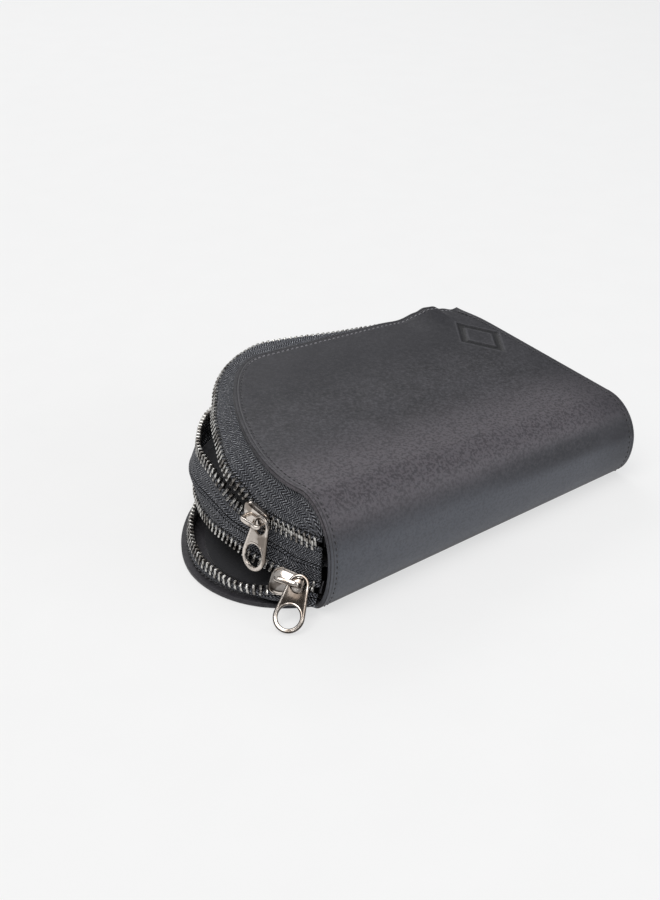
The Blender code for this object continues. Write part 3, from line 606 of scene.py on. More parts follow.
# ---------------------------------------------------------------- stitches
def stitch_line(points, normals, inset, pitch, lift, bow=0.10 * MM):
    """Thread stitches along a border line, inset sideways on the surface."""
    tangents = unit(np.gradient(points, axis=0))
    inward = unit(np.cross(normals, tangents))
    at, along = resample(points + inward * inset + normals * lift, pitch, pitch * 0.6)
    tangent = unit(along(at + 0.2 * MM) - along(at - 0.2 * MM))
    normal = unit(along(at, normals))
    parts = []
    for p, t, n, b in zip(along(at), tangent, normal, np.cross(normal, tangent)):
        slant = unit(t + 0.10 * b)
        rings = []
        for k in (-1.0, -0.93, -0.75, -0.4, 0.0, 0.4, 0.75, 0.93, 1.0):
            radius = THREAD_RADIUS * math.sqrt(max(1.0 - abs(k) ** 3, 0.06))
            centre = p + slant * k * STITCH_LENGTH / 2 + n * (bow - 0.34 * MM * k * k)
            rings.append([centre + radius * (math.cos(a) * b * 1.15 + math.sin(a) * n) for a in turns(6)])
        parts.append(tube(rings))
    return parts


def cover_stitches(grid, normals, thread):
    """Stitches round the cover, just inside its edges."""
    skip = np.searchsorted(grid[0, :, 0], HALF_LENGTH - STITCH_INSET - 2.0 * MM)
    first = int(np.argmax(grid[:, -1, 1] < BACK_Y - STITCH_INSET))

    def round_mouth(values):
        return np.concatenate([values[0, :skip][::-1], values[1:, 0], values[-1, 1:skip]])

    def far_end(values):
        return values[first:-16, -1][::-1]

    parts = []
    for pick in (round_mouth, far_end):
        line, out = pick(grid), pick(normals)
        line = line + out * edge_lift(line)[:, None]
        parts += stitch_line(line, out, STITCH_INSET, STITCH_PITCH, float(edge_profile(STITCH_INSET)))
    piece("cover_stitches", joined(parts), thread, "case", slot="leather")


# ---------------------------------------------------------------- tapes, beads and band
def stations(name, step, last=2.0):
    """Stations evenly spaced along a row, and the length they span."""
    us, run = row_table(name)
    length = run[us <= last][-1]
    return np.interp(np.linspace(0.0, length, round(length / step) + 1), run, us), length


def woven_strip(name, curves, row, material, node, across, shape):
    """Woven tape through two or more edge curves, with run and side distances for its weave."""
    us, length = stations(row, 0.9 * MM)
    lines = np.array([[curve(u) for curve in curves] for u in us])
    for _ in range(2):
        lines[1:-1] = relaxed(lines)
    widths = np.linalg.norm(np.diff(lines, axis=1), axis=2)
    spot = np.concatenate([np.zeros((len(us), 1)), np.cumsum(widths, axis=1)], axis=1)
    ease = np.linspace(0.0, 1.0, across)
    ease = np.concatenate([[0.0, 0.02, 0.05], ease[1:-1], [0.95, 0.98, 1.0]])
    side = ease[None, :] * spot[:, -1:]
    grid = np.array([[np.interp(side[i], spot[i], lines[i, :, k]) for k in range(3)]
                     for i in range(len(us))]).swapaxes(1, 2)
    if len(curves) > 2:
        for _ in range(3):
            grid[:, 1:-1] = relaxed(grid.swapaxes(0, 1)).swapaxes(0, 1)
    normals = grid_normals(grid)
    run = np.repeat(np.linspace(0.0, length, len(us))[:, None], len(ease), axis=1)
    grid = grid + normals * shape(run, np.broadcast_to(ease, side.shape))[..., None]
    half = TAPE / 2 - 0.5 * rounding(np.minimum(side, spot[:, -1:] - side), 0.35 * MM)
    piece(name, thickened(grid, normals * half[..., None]), material, "case", [node], "woven_tape",
          run=np.tile(run.ravel(), 2) / MM, side=np.tile(side.ravel(), 2) / MM)
    return grid, normals


def puckered(amount, seed):
    """Small waves across a tape, none at its sewn edges."""
    def shape(run, v):
        waves = soft_waves(np.stack([run, v * 6 * MM, 0 * v], -1), 5.5 * MM, seed)
        return amount * np.sin(np.pi * v) * waves
    return shape


def band_shape(seed, flip):
    """The middle band bows gently and folds near the spine end."""
    def shape(run, v):
        waves = soft_waves(np.stack([run, v * 8 * MM, 0 * v], -1), 9.0 * MM, seed)
        lean = flip * 7.0 * MM * v
        fold = np.exp(-((run - 17.0 * MM - lean) / (2.0 * MM)) ** 2)
        fold -= 0.8 * np.exp(-((run - 21.0 * MM - lean) / (2.6 * MM)) ** 2)
        return MM * np.sin(np.pi * v) * (0.30 * waves + 0.50 * fold)
    return shape


def zip_tapes(weave, thread):
    """Four tapes, and the sewing line of the lowest one."""
    behind = {row: lambda u, row=row: beside(row, u) for row in ROWS}
    strips = {
        "a_upper": ((hidden_top, behind["a_upper"]), 14, puckered(0.16 * MM, 5)),
        "a_lower": ((behind["a_lower"], lambda u: band_mid(u, 1.0)), 12, band_shape(6, 1.0)),
        "b_upper": ((lambda u: band_mid(u, -1.0), behind["b_upper"]), 12, band_shape(7, -1.0)),
        "b_lower": ((behind["b_lower"], low_fold, hidden_low), 14, puckered(0.10 * MM, 8))}
    for row, (curves, across, shape) in strips.items():
        grid, normals = woven_strip("tape_" + row, curves, row, weave, "zip_tape_" + row, across, shape)
    line, out = grid[8:, -3], normals[8:, -3]
    if normals[60, -3, 2] < 0:
        out = -out
    else:
        line, out = line[::-1], out[::-1]
    stitches = stitch_line(line, out, -0.5 * MM, 2.6 * MM, TAPE / 2, 0.05 * MM)
    piece("tape_stitches_low", joined(stitches), thread, "case", slot="woven_tape")


def woven_roll(name, rings, length, spread, material, replaces=()):
    """Woven cord through rings of points, with run and side distances for its weave."""
    count = len(rings[0])
    run = np.repeat(np.linspace(0.0, length, len(rings)), count) / MM
    side = np.tile(np.arange(count) * spread, len(rings))
    piece(name, tube(rings), material, "case", replaces, "woven_tape", run=run, side=side)


def bead_cord(name, material):
    """Woven bead that the teeth clamp on."""
    us, length = stations(name, 1.0 * MM)
    rings = []
    for u in us:
        p, d, n = row_frame(name, u)
        rings.append([p + BEAD_RADIUS * (math.cos(a) * d * 1.2 - 0.25 * d + math.sin(a) * n)
                      for a in turns(10)])
    woven_roll("bead_" + name, rings, length, 0.42, material)


def band_seam(material):
    """Turned seam along the middle of the band."""
    us, length = stations("a_lower", 0.8 * MM)
    rings = []
    for u in us:
        t = unit(seam_point(u + STATION_STEP) - seam_point(u - STATION_STEP))
        up = unit(beside("a_lower", u) - beside("b_upper", u))
        n = unit(np.cross(t, up))
        rings.append([seam_point(u) + 0.62 * MM * math.cos(k) * up + 0.72 * MM * math.sin(k) * n
                      for k in turns(12)])
    woven_roll("band_seam_roll", rings, length, 0.36, material, ["band_seam"])


# ---------------------------------------------------------------- metal teeth
def tooth_shape():
    """One tooth as rings along its length: legs round the bead, neck and rounded head."""
    sections = ((-1.02, 0.30, 0.85), (-0.92, 0.46, 1.06), (0.25, 0.50, 1.10), (0.55, 0.44, 0.90),
                (1.15, 0.40, 0.82), (1.50, 0.50, 0.86), (2.25, 0.50, 0.86), (2.52, 0.42, 0.76),
                (2.66, 0.24, 0.52))
    corner = 0.12
    rings = []
    for y, hx, hz in sections:
        c = min(corner, hx * 0.5)
        outline = ((hx, hz - c), (hx - c, hz), (c - hx, hz), (-hx, hz - c),
                   (-hx, c - hz), (c - hx, -hz), (hx - c, -hz), (hx, c - hz))
        rings.append([(x * MM, y * MM, z * MM) for x, z in outline])
    return tube(rings)


def teeth_rows(material):
    """Rows of separate metal teeth, the lower row half a pitch behind the upper."""
    tooth = tooth_shape()
    for name in ROWS:
        us, run = row_table(name)
        first = FIRST_TOOTH + (0.0 if name.endswith("upper") else TOOTH_PITCH / 2)
        parts = []
        for k in range(int((run[-1] - first - TOOTH_PITCH) / TOOTH_PITCH)):
            centre = first + (k + 0.5) * TOOTH_PITCH
            p, d, n = row_frame(name, float(np.interp(centre, run, us)))
            parts.append(placed(tooth, p, np.array((np.cross(d, n), d, n))))
        piece("zip_teeth_" + name, joined(parts), material, "case", ["teeth_" + name], "zip_metal", 38)


# ---------------------------------------------------------------- sliders, crowns, pulls, stops
def smooth_outline(points, count):
    """Closed smooth outline through plan points."""
    pts = np.array(points)
    for _ in range(3):
        a, b = pts, np.roll(pts, -1, axis=0)
        pts = np.stack([0.75 * a + 0.25 * b, 0.25 * a + 0.75 * b], 1).reshape(-1, 2)
    at, along = resample(np.concatenate([pts, pts[:1]]), 0.01 * MM)
    return along(np.linspace(at[0], at[-1], count, endpoint=False))


def plate_shape(outline, low, high, dome, soft):
    """Plate with a domed outer face and softened edges; the inner face is flat."""
    centre = outline.mean(axis=0)
    sign = 1.0 if high > low else -1.0
    rings = [(share, high + sign * dome * (1 - share ** 2)) for share in (0.02, 0.35, 0.65, 0.85)]
    for a in np.linspace(0.0, math.pi / 2, 5):
        rings.append((1.0 - soft / (4.0 * MM) * (1 - math.sin(a)), high - sign * soft * (1 - math.cos(a))))
    rings += [(1.0, low + sign * 0.12 * MM), (0.97, low), (0.6, low), (0.02, low)]
    return tube([[(*(centre + (p - centre) * share), level) for p in outline] for share, level in rings])


def bar(path, half_in, half_out, out, sides):
    """Rounded bar swept along a local line; half_out is along the direction out."""
    path = np.array(path)
    tangents = unit(np.gradient(path, axis=0))
    out = np.array(out)
    rings = []
    for p, t, a, b in zip(path, tangents, half_in, half_out):
        inner = unit(np.cross(out, t))
        ring = []
        for k in turns(sides) + math.pi / sides:
            c, s = math.cos(k), math.sin(k)
            ring.append(p + inner * a * np.sign(c) * abs(c) ** 0.6 + out * b * np.sign(s) * abs(s) ** 0.6)
        rings.append(ring)
    return tube(rings)


def slider_body(which, material):
    """Slider: two plates with turned-in flanges and the wedge post between them."""
    half, gap = SLIDER_LENGTH / 2, SLIDER_CHANNEL / 2
    rear, front = SLIDER_HALF_REAR, SLIDER_HALF_FRONT
    side = [(-half - 0.3 * MM, rear * 0.75), (-half + 1.2 * MM, rear * 1.03), (0.0, front * 0.93),
            (half - 3.4 * MM, front * 1.02), (half - 0.9 * MM, front * 0.74), (half - 0.5 * MM, 0.0)]
    outline = smooth_outline([(x, -y) for x, y in side] + [(x, y) for x, y in side[-2::-1]], 56)
    parts = [plate_shape(outline, gap, gap + SLIDER_PLATE * 0.72, 0.75 * MM, SLIDER_SOFT),
             plate_shape(outline, -gap, -gap - SLIDER_PLATE, 0.15 * MM, SLIDER_SOFT)]
    reach = half - 1.9 * MM
    post = [(reach - 1.6 * MM, 0.0), (reach - 0.4 * MM, -0.5 * MM), (reach + 0.6 * MM, -0.35 * MM),
            (reach + 0.6 * MM, 0.35 * MM), (reach - 0.4 * MM, 0.5 * MM)]
    levels = np.linspace(-gap - 0.3 * MM, gap + 0.3 * MM, 3)
    parts.append(tube([[(x, y, z) for x, y in smooth_outline(post, 16)] for z in levels]))
    xs = np.linspace(-half + 0.9 * MM, half - 2.4 * MM, 14)
    edge = np.interp(xs, *np.array(side[:5]).T) - 0.34 * MM
    ends = 1.0 - 0.55 * smoothstep(0.75, 1.0, np.abs(np.linspace(-1, 1, len(xs))))
    thin, tall = np.full_like(xs, 0.30 * MM), ends * (SLIDER_FLANGE + 0.35 * MM)
    for hand in (-1.0, 1.0):
        for level in (-1.0, 1.0):
            path = np.stack([xs, hand * edge, np.full_like(xs, level * (gap - SLIDER_FLANGE / 2))], -1)
            parts.append(bar(path, thin, tall, (0.0, 0.0, 1.0), 10))
    piece("slider_body_" + which, placed(joined(parts), *slider_frame(which)), material,
          BODY[which] + "_slider", ["slider_" + which], "nickel", 50)


def crown_bridge(which, material):
    """Bridge over the outer plate that holds the pull."""
    o, axes = slider_frame(which)
    plate_top = SLIDER_CHANNEL / 2 + SLIDER_PLATE
    foot = plate_top - 0.05 * MM
    leg = (CROWN_LENGTH - CROWN_LEG) / 2
    crest = plate_top + CROWN_RISE - CROWN_BAR / 2
    turn = 1.5 * MM
    arc = [(leg - turn + turn * math.sin(a), crest - turn + turn * math.cos(a))
           for a in np.linspace(0.0, math.pi / 2, 8)]
    right = [(0.0, crest), (leg * 0.35, crest), *arc,
             (leg, (crest + foot) / 2 - 0.2 * MM), (leg + 0.05 * MM, foot)]
    line = [(-x, z) for x, z in right[:0:-1]] + right
    path = np.array([(x, 0.0, z) for x, z in line])
    spread = np.abs(path[:, 0]) / leg
    width = (0.98 - 0.22 * smoothstep(0.5, 1.0, spread)) * MM
    thick = (0.55 + 0.08 * smoothstep(0.8, 1.0, spread)) * MM
    shape = bar(path, thick, width, (0.0, 1.0, 0.0), 16)
    piece("crown_bridge_" + which, placed(shape, o - CROWN_SETBACK * axes[0], axes), material,
          BODY[which] + "_slider", ["slider_crown_" + which], "nickel", 60)


def pull_frame(which):
    """Centre of the pull's eye and its axes as rows: hanging, side, face."""
    o, (ax, ay, an) = slider_frame(which)
    height = SLIDER_CHANNEL / 2 + SLIDER_PLATE + PULL_HEIGHT
    pivot = o + an * height - ax * (CROWN_SETBACK + CROWN_LENGTH / 2 - CROWN_LEG / 2)
    lean = PULL_LEAN[which]
    hang = unit(-ay * math.cos(lean) + an * math.sin(lean))
    face = unit(an * math.cos(lean) + ay * math.sin(lean))
    return pivot, np.array((hang, ax, face))


def ring_of(radius, count, centre=0.0):
    """Circle of plan points along the pull."""
    angles = turns(count)
    return np.stack([centre + radius * np.cos(angles), radius * np.sin(angles)], -1)


def pull_outline(inset, count=48):
    """Outline of the pull: two circles joined by their outer tangents."""
    eye, end = PULL_HALF_EYE - inset, PULL_HALF_END - inset
    centre = PULL_LENGTH - PULL_HALF_EYE - PULL_HALF_END
    lean = math.acos((eye - end) / centre)
    small = [(eye * math.cos(a), eye * math.sin(a)) for a in np.linspace(lean, math.tau - lean, count // 2)]
    large = [(centre + end * math.cos(a), end * math.sin(a)) for a in np.linspace(-lean, lean, count)]
    return np.array(small + large), centre


def flat_with_holes(loops, half, soft):
    """Flat solid with holes and softened edges, from a filled curve."""
    curve = bpy.data.curves.new("outline", "CURVE")
    curve.dimensions = "2D"
    curve.fill_mode = "BOTH"
    curve.extrude = half - soft
    curve.bevel_depth = soft
    curve.bevel_resolution = 3
    curve.offset = -soft
    for loop in loops:
        spline = curve.splines.new("POLY")
        spline.points.add(len(loop) - 1)
        spline.points.foreach_set("co", np.array([(x, y, 0.0, 1.0) for x, y in loop]).ravel())
        spline.use_cyclic_u = True
    obj = new_object("outline", curve)
    bpy.context.view_layer.update()
    mesh = bpy.data.meshes.new_from_object(obj.evaluated_get(bpy.context.evaluated_depsgraph_get()))
    bm = bmesh.new()
    bm.from_mesh(mesh)
    bmesh.ops.remove_doubles(bm, verts=bm.verts, dist=0.004 * MM)
    verts = np.array([tuple(v.co) for v in bm.verts])
    faces = [tuple(v.index for v in f.verts) for f in bm.faces]
    bm.free()
    bpy.data.objects.remove(obj, do_unlink=True)
    bpy.data.curves.remove(curve)
    bpy.data.meshes.remove(mesh)
    return verts, faces


def rim(loop, level, radius):
    """Raised round rim along a closed plan line at a given height."""
    pts = np.array(loop)
    tangents = unit(np.roll(pts, -1, axis=0) - np.roll(pts, 1, axis=0))
    out = np.stack([tangents[:, 1], -tangents[:, 0]], -1)
    rings = []
    for p, n in zip(pts, out):
        rings.append([(*(p + n * radius * 1.5 * math.cos(a)), level + radius * math.sin(a))
                      for a in turns(8)])
    return tube(rings, closed=True)


def pull_tab(which, material):
    """Pull: eye round the bridge's rear leg, flared neck, wide end with a finger hole."""
    outline, centre = pull_outline(0.0)
    half = PULL_THICK / 2
    hole, eye = ring_of(PULL_HOLE_RADIUS, 40, centre), ring_of(EYE_RADIUS, 32)
    parts = [flat_with_holes((outline, hole[::-1], eye[::-1]), half - 0.10 * MM, PULL_SOFT)]
    flat_count = len(parts[0][0])
    border, _ = pull_outline(0.62 * MM, 56)
    at, along = resample(np.concatenate([border, border[:1]]), 0.45 * MM)
    for face in (-1.0, 1.0):
        for loop in (along(at), ring_of(PULL_HOLE_RADIUS + 0.55 * MM, 40, centre)):
            parts.append(rim(loop, face * (half - 0.20 * MM), PULL_SOFT))
    verts, faces = placed(joined(parts), *pull_frame(which))
    # Painted dark reflection on the flat faces, none on the raised rims.
    tarnish = np.where(np.arange(len(verts)) < flat_count, PULL_DARK_REFLECTION[which], 0.0)
    piece("pull_tab_" + which, (verts, faces), material, BODY[which] + "_pull",
          ["pull_" + which], "nickel", 40, tarnish=tarnish)


def soft_block(size, soft):
    """Small cast block with rounded corners, as rings along its height."""
    a, b, c = (s / 2 for s in size)
    rise = [(0.0, -0.12), (c - soft, 0.0), (c - 0.3 * soft, 0.45), (c, 1.0)]
    rings = []
    for z, inset in [(-z, inset) for z, inset in rise[:0:-1]] + rise:
        ring = []
        for k in turns(20):
            x, y = math.cos(k), math.sin(k)
            shape = (abs(x) ** 5 + abs(y) ** 5) ** -0.2
            ring.append(((a - soft * inset) * x * shape, (b - soft * inset) * y * shape, z))
        rings.append(ring)
    return tube(rings)


def stops(material, hidden):
    """End stops on each row and the shared stop at the spine end of each zip."""
    block = soft_block((1.8 * MM, 3.0 * MM, 2.6 * MM), STOP_SOFT)
    for row in ROWS:
        p, d, n = row_frame(row, 2.0)
        t = unit(np.cross(d, n))
        if float(np.dot(t, row_point(row, 2.0) - row_point(row, 1.99))) < 0:
            t = -t
        shape = placed(block, p + t * 0.9 * MM, np.array((t, d, n)))
        piece("end_stop_" + row, shape, material, "case", ["zip_end_stop_" + row], "zip_metal", 50)
    # The spine stops take a near-black metal that stands for the deep shade in the gap at the spine end.
    block = soft_block((1.4 * MM, 4.6 * MM, 2.2 * MM), STOP_SOFT)
    for which in BODY:
        _, axes = slider_frame(which)
        mid = (row_point(which + "_upper", -1.0) + row_point(which + "_lower", -1.0)) / 2
        shape = placed(block, mid + axes[0] * 1.2 * MM + np.array((3.0 * MM, 0.0, 0.0)), axes)
        piece("spine_stop_" + which, shape, hidden, "case", ["zip_spine_stop_" + which], "zip_metal", 50)


# ---------------------------------------------------------------- divider and gussets
def divider_edge(u):
    """Outer edge of the divider, just inside the band's seam."""
    t = seam_point(u + STATION_STEP) - seam_point(u - STATION_STEP)
    x, y, z = seam_point(u) + unit(np.array((t[1], -t[0], 0.0))) * (1.2 * MM + GAP)
    return np.array((min(x, DIVIDER_END), y, z))


def divider_root(u):
    """Straight inner edge of the divider beside the spine."""
    x = float(np.interp(u, (-0.8, 0.4, 1.0, 2.0), (-76.0 * MM, -62.0 * MM, -34.0 * MM, DIVIDER_END)))
    return np.array((x, -47.2 * MM, 18.9 * MM))


def divider_board(cloth, binding):
    """Stiff cloth-covered divider and the ribbon bound over its outer edge."""
    us, _ = stations("a_lower", 2.0 * MM, 1.97)
    us = us[us >= -0.8]
    edges = np.array([divider_edge(u) for u in us])
    roots = np.array([divider_root(u) for u in us])
    edges[1:-1] = relaxed(edges)
    shares = np.concatenate([[0.0, 0.004, 0.010, 0.02], np.linspace(0.05, 1.0, 24)])[None, :, None]
    grid = edges[:, None] * (1 - shares) + roots[:, None] * shares
    up = np.array((0.0, 0.0, 1.0))
    from_edge = np.linalg.norm(grid - edges[:, None], axis=2)
    half = DIVIDER / 2 - 0.1 * MM - rounding(from_edge, 0.7 * MM)
    ripple = 0.10 * MM * soft_waves(grid, 12.0 * MM, 9)
    board = slab(grid + up * (half + ripple)[..., None], grid - up * (half - ripple)[..., None])
    piece("divider_board", board, cloth, "case", ["divider_panel"], "lining_cloth")
    reach = np.array((-0.25, 0.0, 0.35, 0.8, 1.6, 2.6, 3.4, 3.7)) * MM
    thick = np.array((0.15, 0.62, 0.95, 1.05, 1.07, 1.07, 1.04, 0.80)) * MM
    ribbon = edges[:, None] + unit(roots - edges)[:, None] * reach[None, :, None]
    piece("divider_binding", thickened(ribbon, up * thick[None, :, None]), binding, "case",
          slot="lining_cloth")


def end_gusset(name, upper, cloth):
    """Cloth wall that closes one compartment at the far end, bowed in a little."""
    x = 75.0 * MM
    clear = LEATHER + 0.15 * MM
    half = height_at(x) / 2
    start = TOP_BEND_Y if upper else LOW_BEND_Y
    ys = np.linspace(-49.0 * MM, 52.0 * MM, 76)
    depth = np.clip((start - ys) / (start - SPINE_Y - clear), 0.0, 1.0)
    bend = (half - clear) * np.sqrt(1.0 - depth ** 2)
    if upper:
        low = np.full_like(ys, 19.9 * MM)
        high = np.where(ys > start, top_z(x, ys) - clear, half + bend)
    else:
        low, high = half - bend, np.full_like(ys, 19.5 * MM)
    v = np.linspace(0.0, 1.0, 20)
    zs = low[:, None] + (high - low)[:, None] * v[None, :]
    grid = np.stack([np.full_like(zs, x), np.repeat(ys[:, None], len(v), axis=1), zs], -1)
    width = np.clip((ys - ys[0]) / (ys[-1] - ys[0]), 0, 1)
    room = np.sin(np.pi * v)[None, :] * np.sin(np.pi * width)[:, None] ** 0.5
    waves = soft_waves(grid * np.array((1.0, 1.0, 0.35)), 11.0 * MM, 11 if upper else 12)
    grid[..., 0] += room * (-1.5 * MM + 1.0 * MM * waves)
    shape = thickened(grid, grid_normals(grid) * 0.42 * MM)
    obj = piece(name, shape, cloth, "case", [name.replace("cloth", "end_gusset")], "lining_cloth")


# ---------------------------------------------------------------- materials
class Nodes:
    """Builds the nodes of one node tree."""

    def __init__(self, tree):
        self.tree = tree

    def node(self, kind, inputs=None, **settings):
        """Adds a node, sets its settings, and sets or links its inputs."""
        made = self.tree.nodes.new(kind)
        for key, value in settings.items():
            setattr(made, key, value)
        for key, value in (inputs or {}).items():
            self.feed(made.inputs[key], value)
        return made

    def feed(self, socket, value):
        """Links a socket to another, or sets its value."""
        if isinstance(value, bpy.types.NodeSocket):
            self.tree.links.new(value, socket)
        else:
            socket.default_value = value

    def ramp(self, value, low, high, out_low=0.0, out_high=1.0):
        """Smooth ramp between two values."""
        inputs = {"Value": value, "From Min": low, "From Max": high, "To Min": out_low, "To Max": out_high}
        return self.node("ShaderNodeMapRange", inputs, interpolation_type="SMOOTHSTEP").outputs[0]

    def mix(self, factor, a, b):
        """Mix of two colours."""
        made = self.node("ShaderNodeMix", data_type="RGBA")
        for index, value in ((0, factor), (6, a), (7, b)):
            if isinstance(value, tuple) and len(value) == 3:
                value = (*value, 1.0)
            self.feed(made.inputs[index], value)
        return made.outputs[2]


class Shader(Nodes):
    """Builds the nodes of one material."""

    def __init__(self, name, roughness, metallic=0.0, **sockets):
        self.material = bpy.data.materials.new(name)
        self.material.use_nodes = True
        super().__init__(self.material.node_tree)
        self.main = self.tree.nodes["Principled BSDF"]
        self.main.inputs["Roughness"].default_value = roughness
        self.main.inputs["Metallic"].default_value = metallic
        for key, value in sockets.items():
            self.main.inputs[key.replace("_", " ")].default_value = value
        self.place = self.node("ShaderNodeTexCoord").outputs["Object"]

    def attribute(self, name):
        """A number stored on the mesh."""
        return self.node("ShaderNodeAttribute", attribute_name=name).outputs["Fac"]

    def math(self, operation, a, b=0.0, c=0.0):
        """One arithmetic step."""
        return self.node("ShaderNodeMath", {0: a, 1: b, 2: c}, operation=operation).outputs[0]

    def times(self, a, b):
        """Product of two values."""
        return self.math("MULTIPLY", a, b)

    def scaled(self, a, factor, plus):
        """A value times a factor, plus another value."""
        return self.math("MULTIPLY_ADD", a, factor, plus)

    def wave(self, value, length):
        """Sine wave of a given length along a value."""
        return self.math("SINE", self.times(value, math.tau / length))

    def away(self, value, centre):
        """Distance of a value from a centre."""
        return self.math("ABSOLUTE", self.math("SUBTRACT", value, centre))

    def window(self, value, start, full_from, end, full_to):
        """1 from full_from to full_to, falling smoothly to 0 at start and at end."""
        return self.times(self.ramp(value, start, full_from), self.ramp(value, end, full_to))

    def noise(self, scale, detail=3.0, roughness=0.5, vector=None):
        """Noise from 0 to 1."""
        inputs = {"Vector": vector or self.place, "Scale": scale, "Detail": detail, "Roughness": roughness}
        return self.node("ShaderNodeTexNoise", inputs).outputs["Fac"]

    def cells(self, scale, feature="F1"):
        """Distance pattern of small cells."""
        inputs = {"Vector": self.place, "Scale": scale}
        return self.node("ShaderNodeTexVoronoi", inputs, feature=feature).outputs["Distance"]

    def axis(self, index):
        """One object coordinate."""
        return self.node("ShaderNodeSeparateXYZ", {0: self.place}).outputs[index]

    def stretched(self, x, y, z):
        """Object coordinates scaled along each axis."""
        return self.node("ShaderNodeMapping", {"Vector": self.place, "Scale": (x, y, z)}).outputs[0]

    def bump(self, height, distance, strength=1.0, normal=None):
        """Bump from a height, in metres per unit."""
        inputs = {"Height": height, "Distance": distance, "Strength": strength}
        if normal is not None:
            inputs["Normal"] = normal
        return self.node("ShaderNodeBump", inputs).outputs[0]

    def finish(self, colour, roughness=None, normal=None):
        """Connects the results to the main shader."""
        for key, value in (("Base Color", colour), ("Roughness", roughness), ("Normal", normal)):
            if value is not None:
                self.feed(self.main.inputs[key], value)
        return self.material


def leather_material():
    """Smooth waxed black leather with mottling, fine grain, pores and burnished edges, and with painted
    light and shade across the bend, towards the far back, along the crease and in the pressed motif.
    """
    s = Shader("smooth_leather", 0.5, Specular_IOR_Level=0.36, Sheen_Weight=0.06, Sheen_Roughness=0.4,
               Coat_Weight=0.03, Coat_Roughness=0.38)
    # both stored in millimetres: from the cut edge, and past the start of the spine's bend
    edge, bend = s.attribute("edge"), s.attribute("bend")
    along, depth, tall = (s.axis(index) for index in range(3))
    mottle = s.noise(26.0, 5.0, 0.62)
    cloud = s.noise(95.0, 5.0, 0.65)
    streak = s.noise(60.0, 4.0, 0.6, s.stretched(1.0, 4.0, 4.0))
    tone = s.scaled(mottle, 0.55, s.scaled(cloud, 0.30, s.times(streak, 0.15)))
    # A real purple tint with painted light over the upper part of the bend.
    bend_tint_and_painted_light = s.window(bend, -30.0, -2.0, 23.0, 14.0)
    # Painted light: the spine side is made lighter and bluer.
    spine = s.times(s.ramp(bend, 15.0, 26.0, 0.0, 0.8), s.ramp(tall, 0.002, 0.008))
    # Painted shade: a dark band partway round the bend, stronger towards the far end.
    painted_bend_shade = s.times(s.window(bend, 12.5, 18.0, 27.5, 21.0), s.ramp(along, -0.030, 0.040, 0.15, 0.85))
    painted_bend_shade = s.times(painted_bend_shade, s.ramp(mottle, 0.38, 0.56, 0.35, 1.0))
    # Painted shade: darker towards the back edge of the top panel and towards the far end.
    painted_far_shade = s.math("MAXIMUM", s.ramp(bend, -38.0, -70.0, 0.0, 0.6),
                      s.ramp(along, 0.048, 0.076, 0.0, 0.5))
    calm = s.ramp(bend, 8.0, 24.0, 1.0, 0.4)
    pores = s.times(s.ramp(s.cells(1500.0), 0.10, 0.24, 1.0, 0.0), s.ramp(s.noise(700.0, 1.0), 0.48, 0.60))
    speckle = s.times(s.ramp(s.noise(620.0, 4.0, 0.75), 0.40, 0.64), calm)
    smut = s.times(s.ramp(s.noise(900.0, 3.0, 0.7), 0.56, 0.40), calm)
    fleck = s.ramp(s.noise(2600.0, 2.0, 0.6), 0.64, 0.76)
    across, down = (s.times(s.away(place, centre), 1.0 / half)
                    for place, centre, half in zip((along, depth), MOTIF_CENTRE, MOTIF_HALF))
    ring = s.away(s.math("ADD", across, down), MOTIF_LINE)
    on_top = s.ramp(bend, -20.0, -24.0)
    # Painted shade in the pressed motif line, and a painted highlight on both sides of it.
    pressed = s.times(s.ramp(ring, 0.20, 0.10), on_top)
    painted_motif_highlight = s.times(s.window(ring, 0.19, 0.23, 0.32, 0.25), on_top)
    # Painted shade in the crease along the edge, and a painted highlight just inside it.
    crease = s.window(edge, 1.15, 1.4, 1.75, 1.5)
    worn = s.times(s.window(edge, 0.30, 0.55, 1.2, 0.8), s.ramp(s.noise(420.0, 3.0), 0.42, 0.62))
    painted_crease_highlight = s.window(edge, 1.42, 1.58, 1.95, 1.72)
    colour = s.mix(s.ramp(tone, 0.40, 0.60), (0.0105, 0.0102, 0.0132), (0.034, 0.0325, 0.0385))
    layers = (
        (bend_tint_and_painted_light, 0.8, (0.104, 0.092, 0.104)), (spine, 1.0, (0.092, 0.099, 0.117)),
        (painted_bend_shade, 1.0, (0.018, 0.018, 0.023)), (pores, 0.6, (0.005, 0.005, 0.006)),
        (speckle, 0.5, (0.084, 0.081, 0.092)), (smut, 0.55, (0.006, 0.006, 0.008)),
        (painted_far_shade, 1.0, (0.0085, 0.0085, 0.0128)), (fleck, 0.35, (0.11, 0.105, 0.11)),
        (pressed, 0.85, (0.0035, 0.0035, 0.0045)), (painted_motif_highlight, 0.4, (0.075, 0.075, 0.082)),
        (crease, 0.75, (0.004, 0.004, 0.005)), (worn, 0.2, (0.060, 0.058, 0.062)),
        (painted_crease_highlight, 0.5, (0.085, 0.083, 0.090)))
    for mask, share, shade in layers:
        colour = s.mix(s.times(mask, share), colour, shade)
    fibre = s.noise(900.0, 3.0, 0.7, s.stretched(1.0, 1.0, 3.0))
    fibres = s.mix(s.ramp(fibre, 0.35, 0.7), (0.004, 0.004, 0.005), (0.022, 0.021, 0.024))
    colour = s.mix(s.ramp(edge, 0.30, 0.12), colour, fibres)
    rough = s.scaled(s.noise(340.0, 3.0), 0.10, s.scaled(tone, 0.16, 0.46))
    grain = s.scaled(s.cells(1900.0, "SMOOTH_F1"), 0.5, s.noise(3800.0, 3.0, 0.6))
    normal = s.bump(grain, 0.00006, 0.55)
    normal = s.bump(s.noise(240.0, 4.0, 0.6), 0.00035, 0.30, normal)
    return s.finish(colour, rough, s.bump(pores, -0.00005, 0.6, normal))


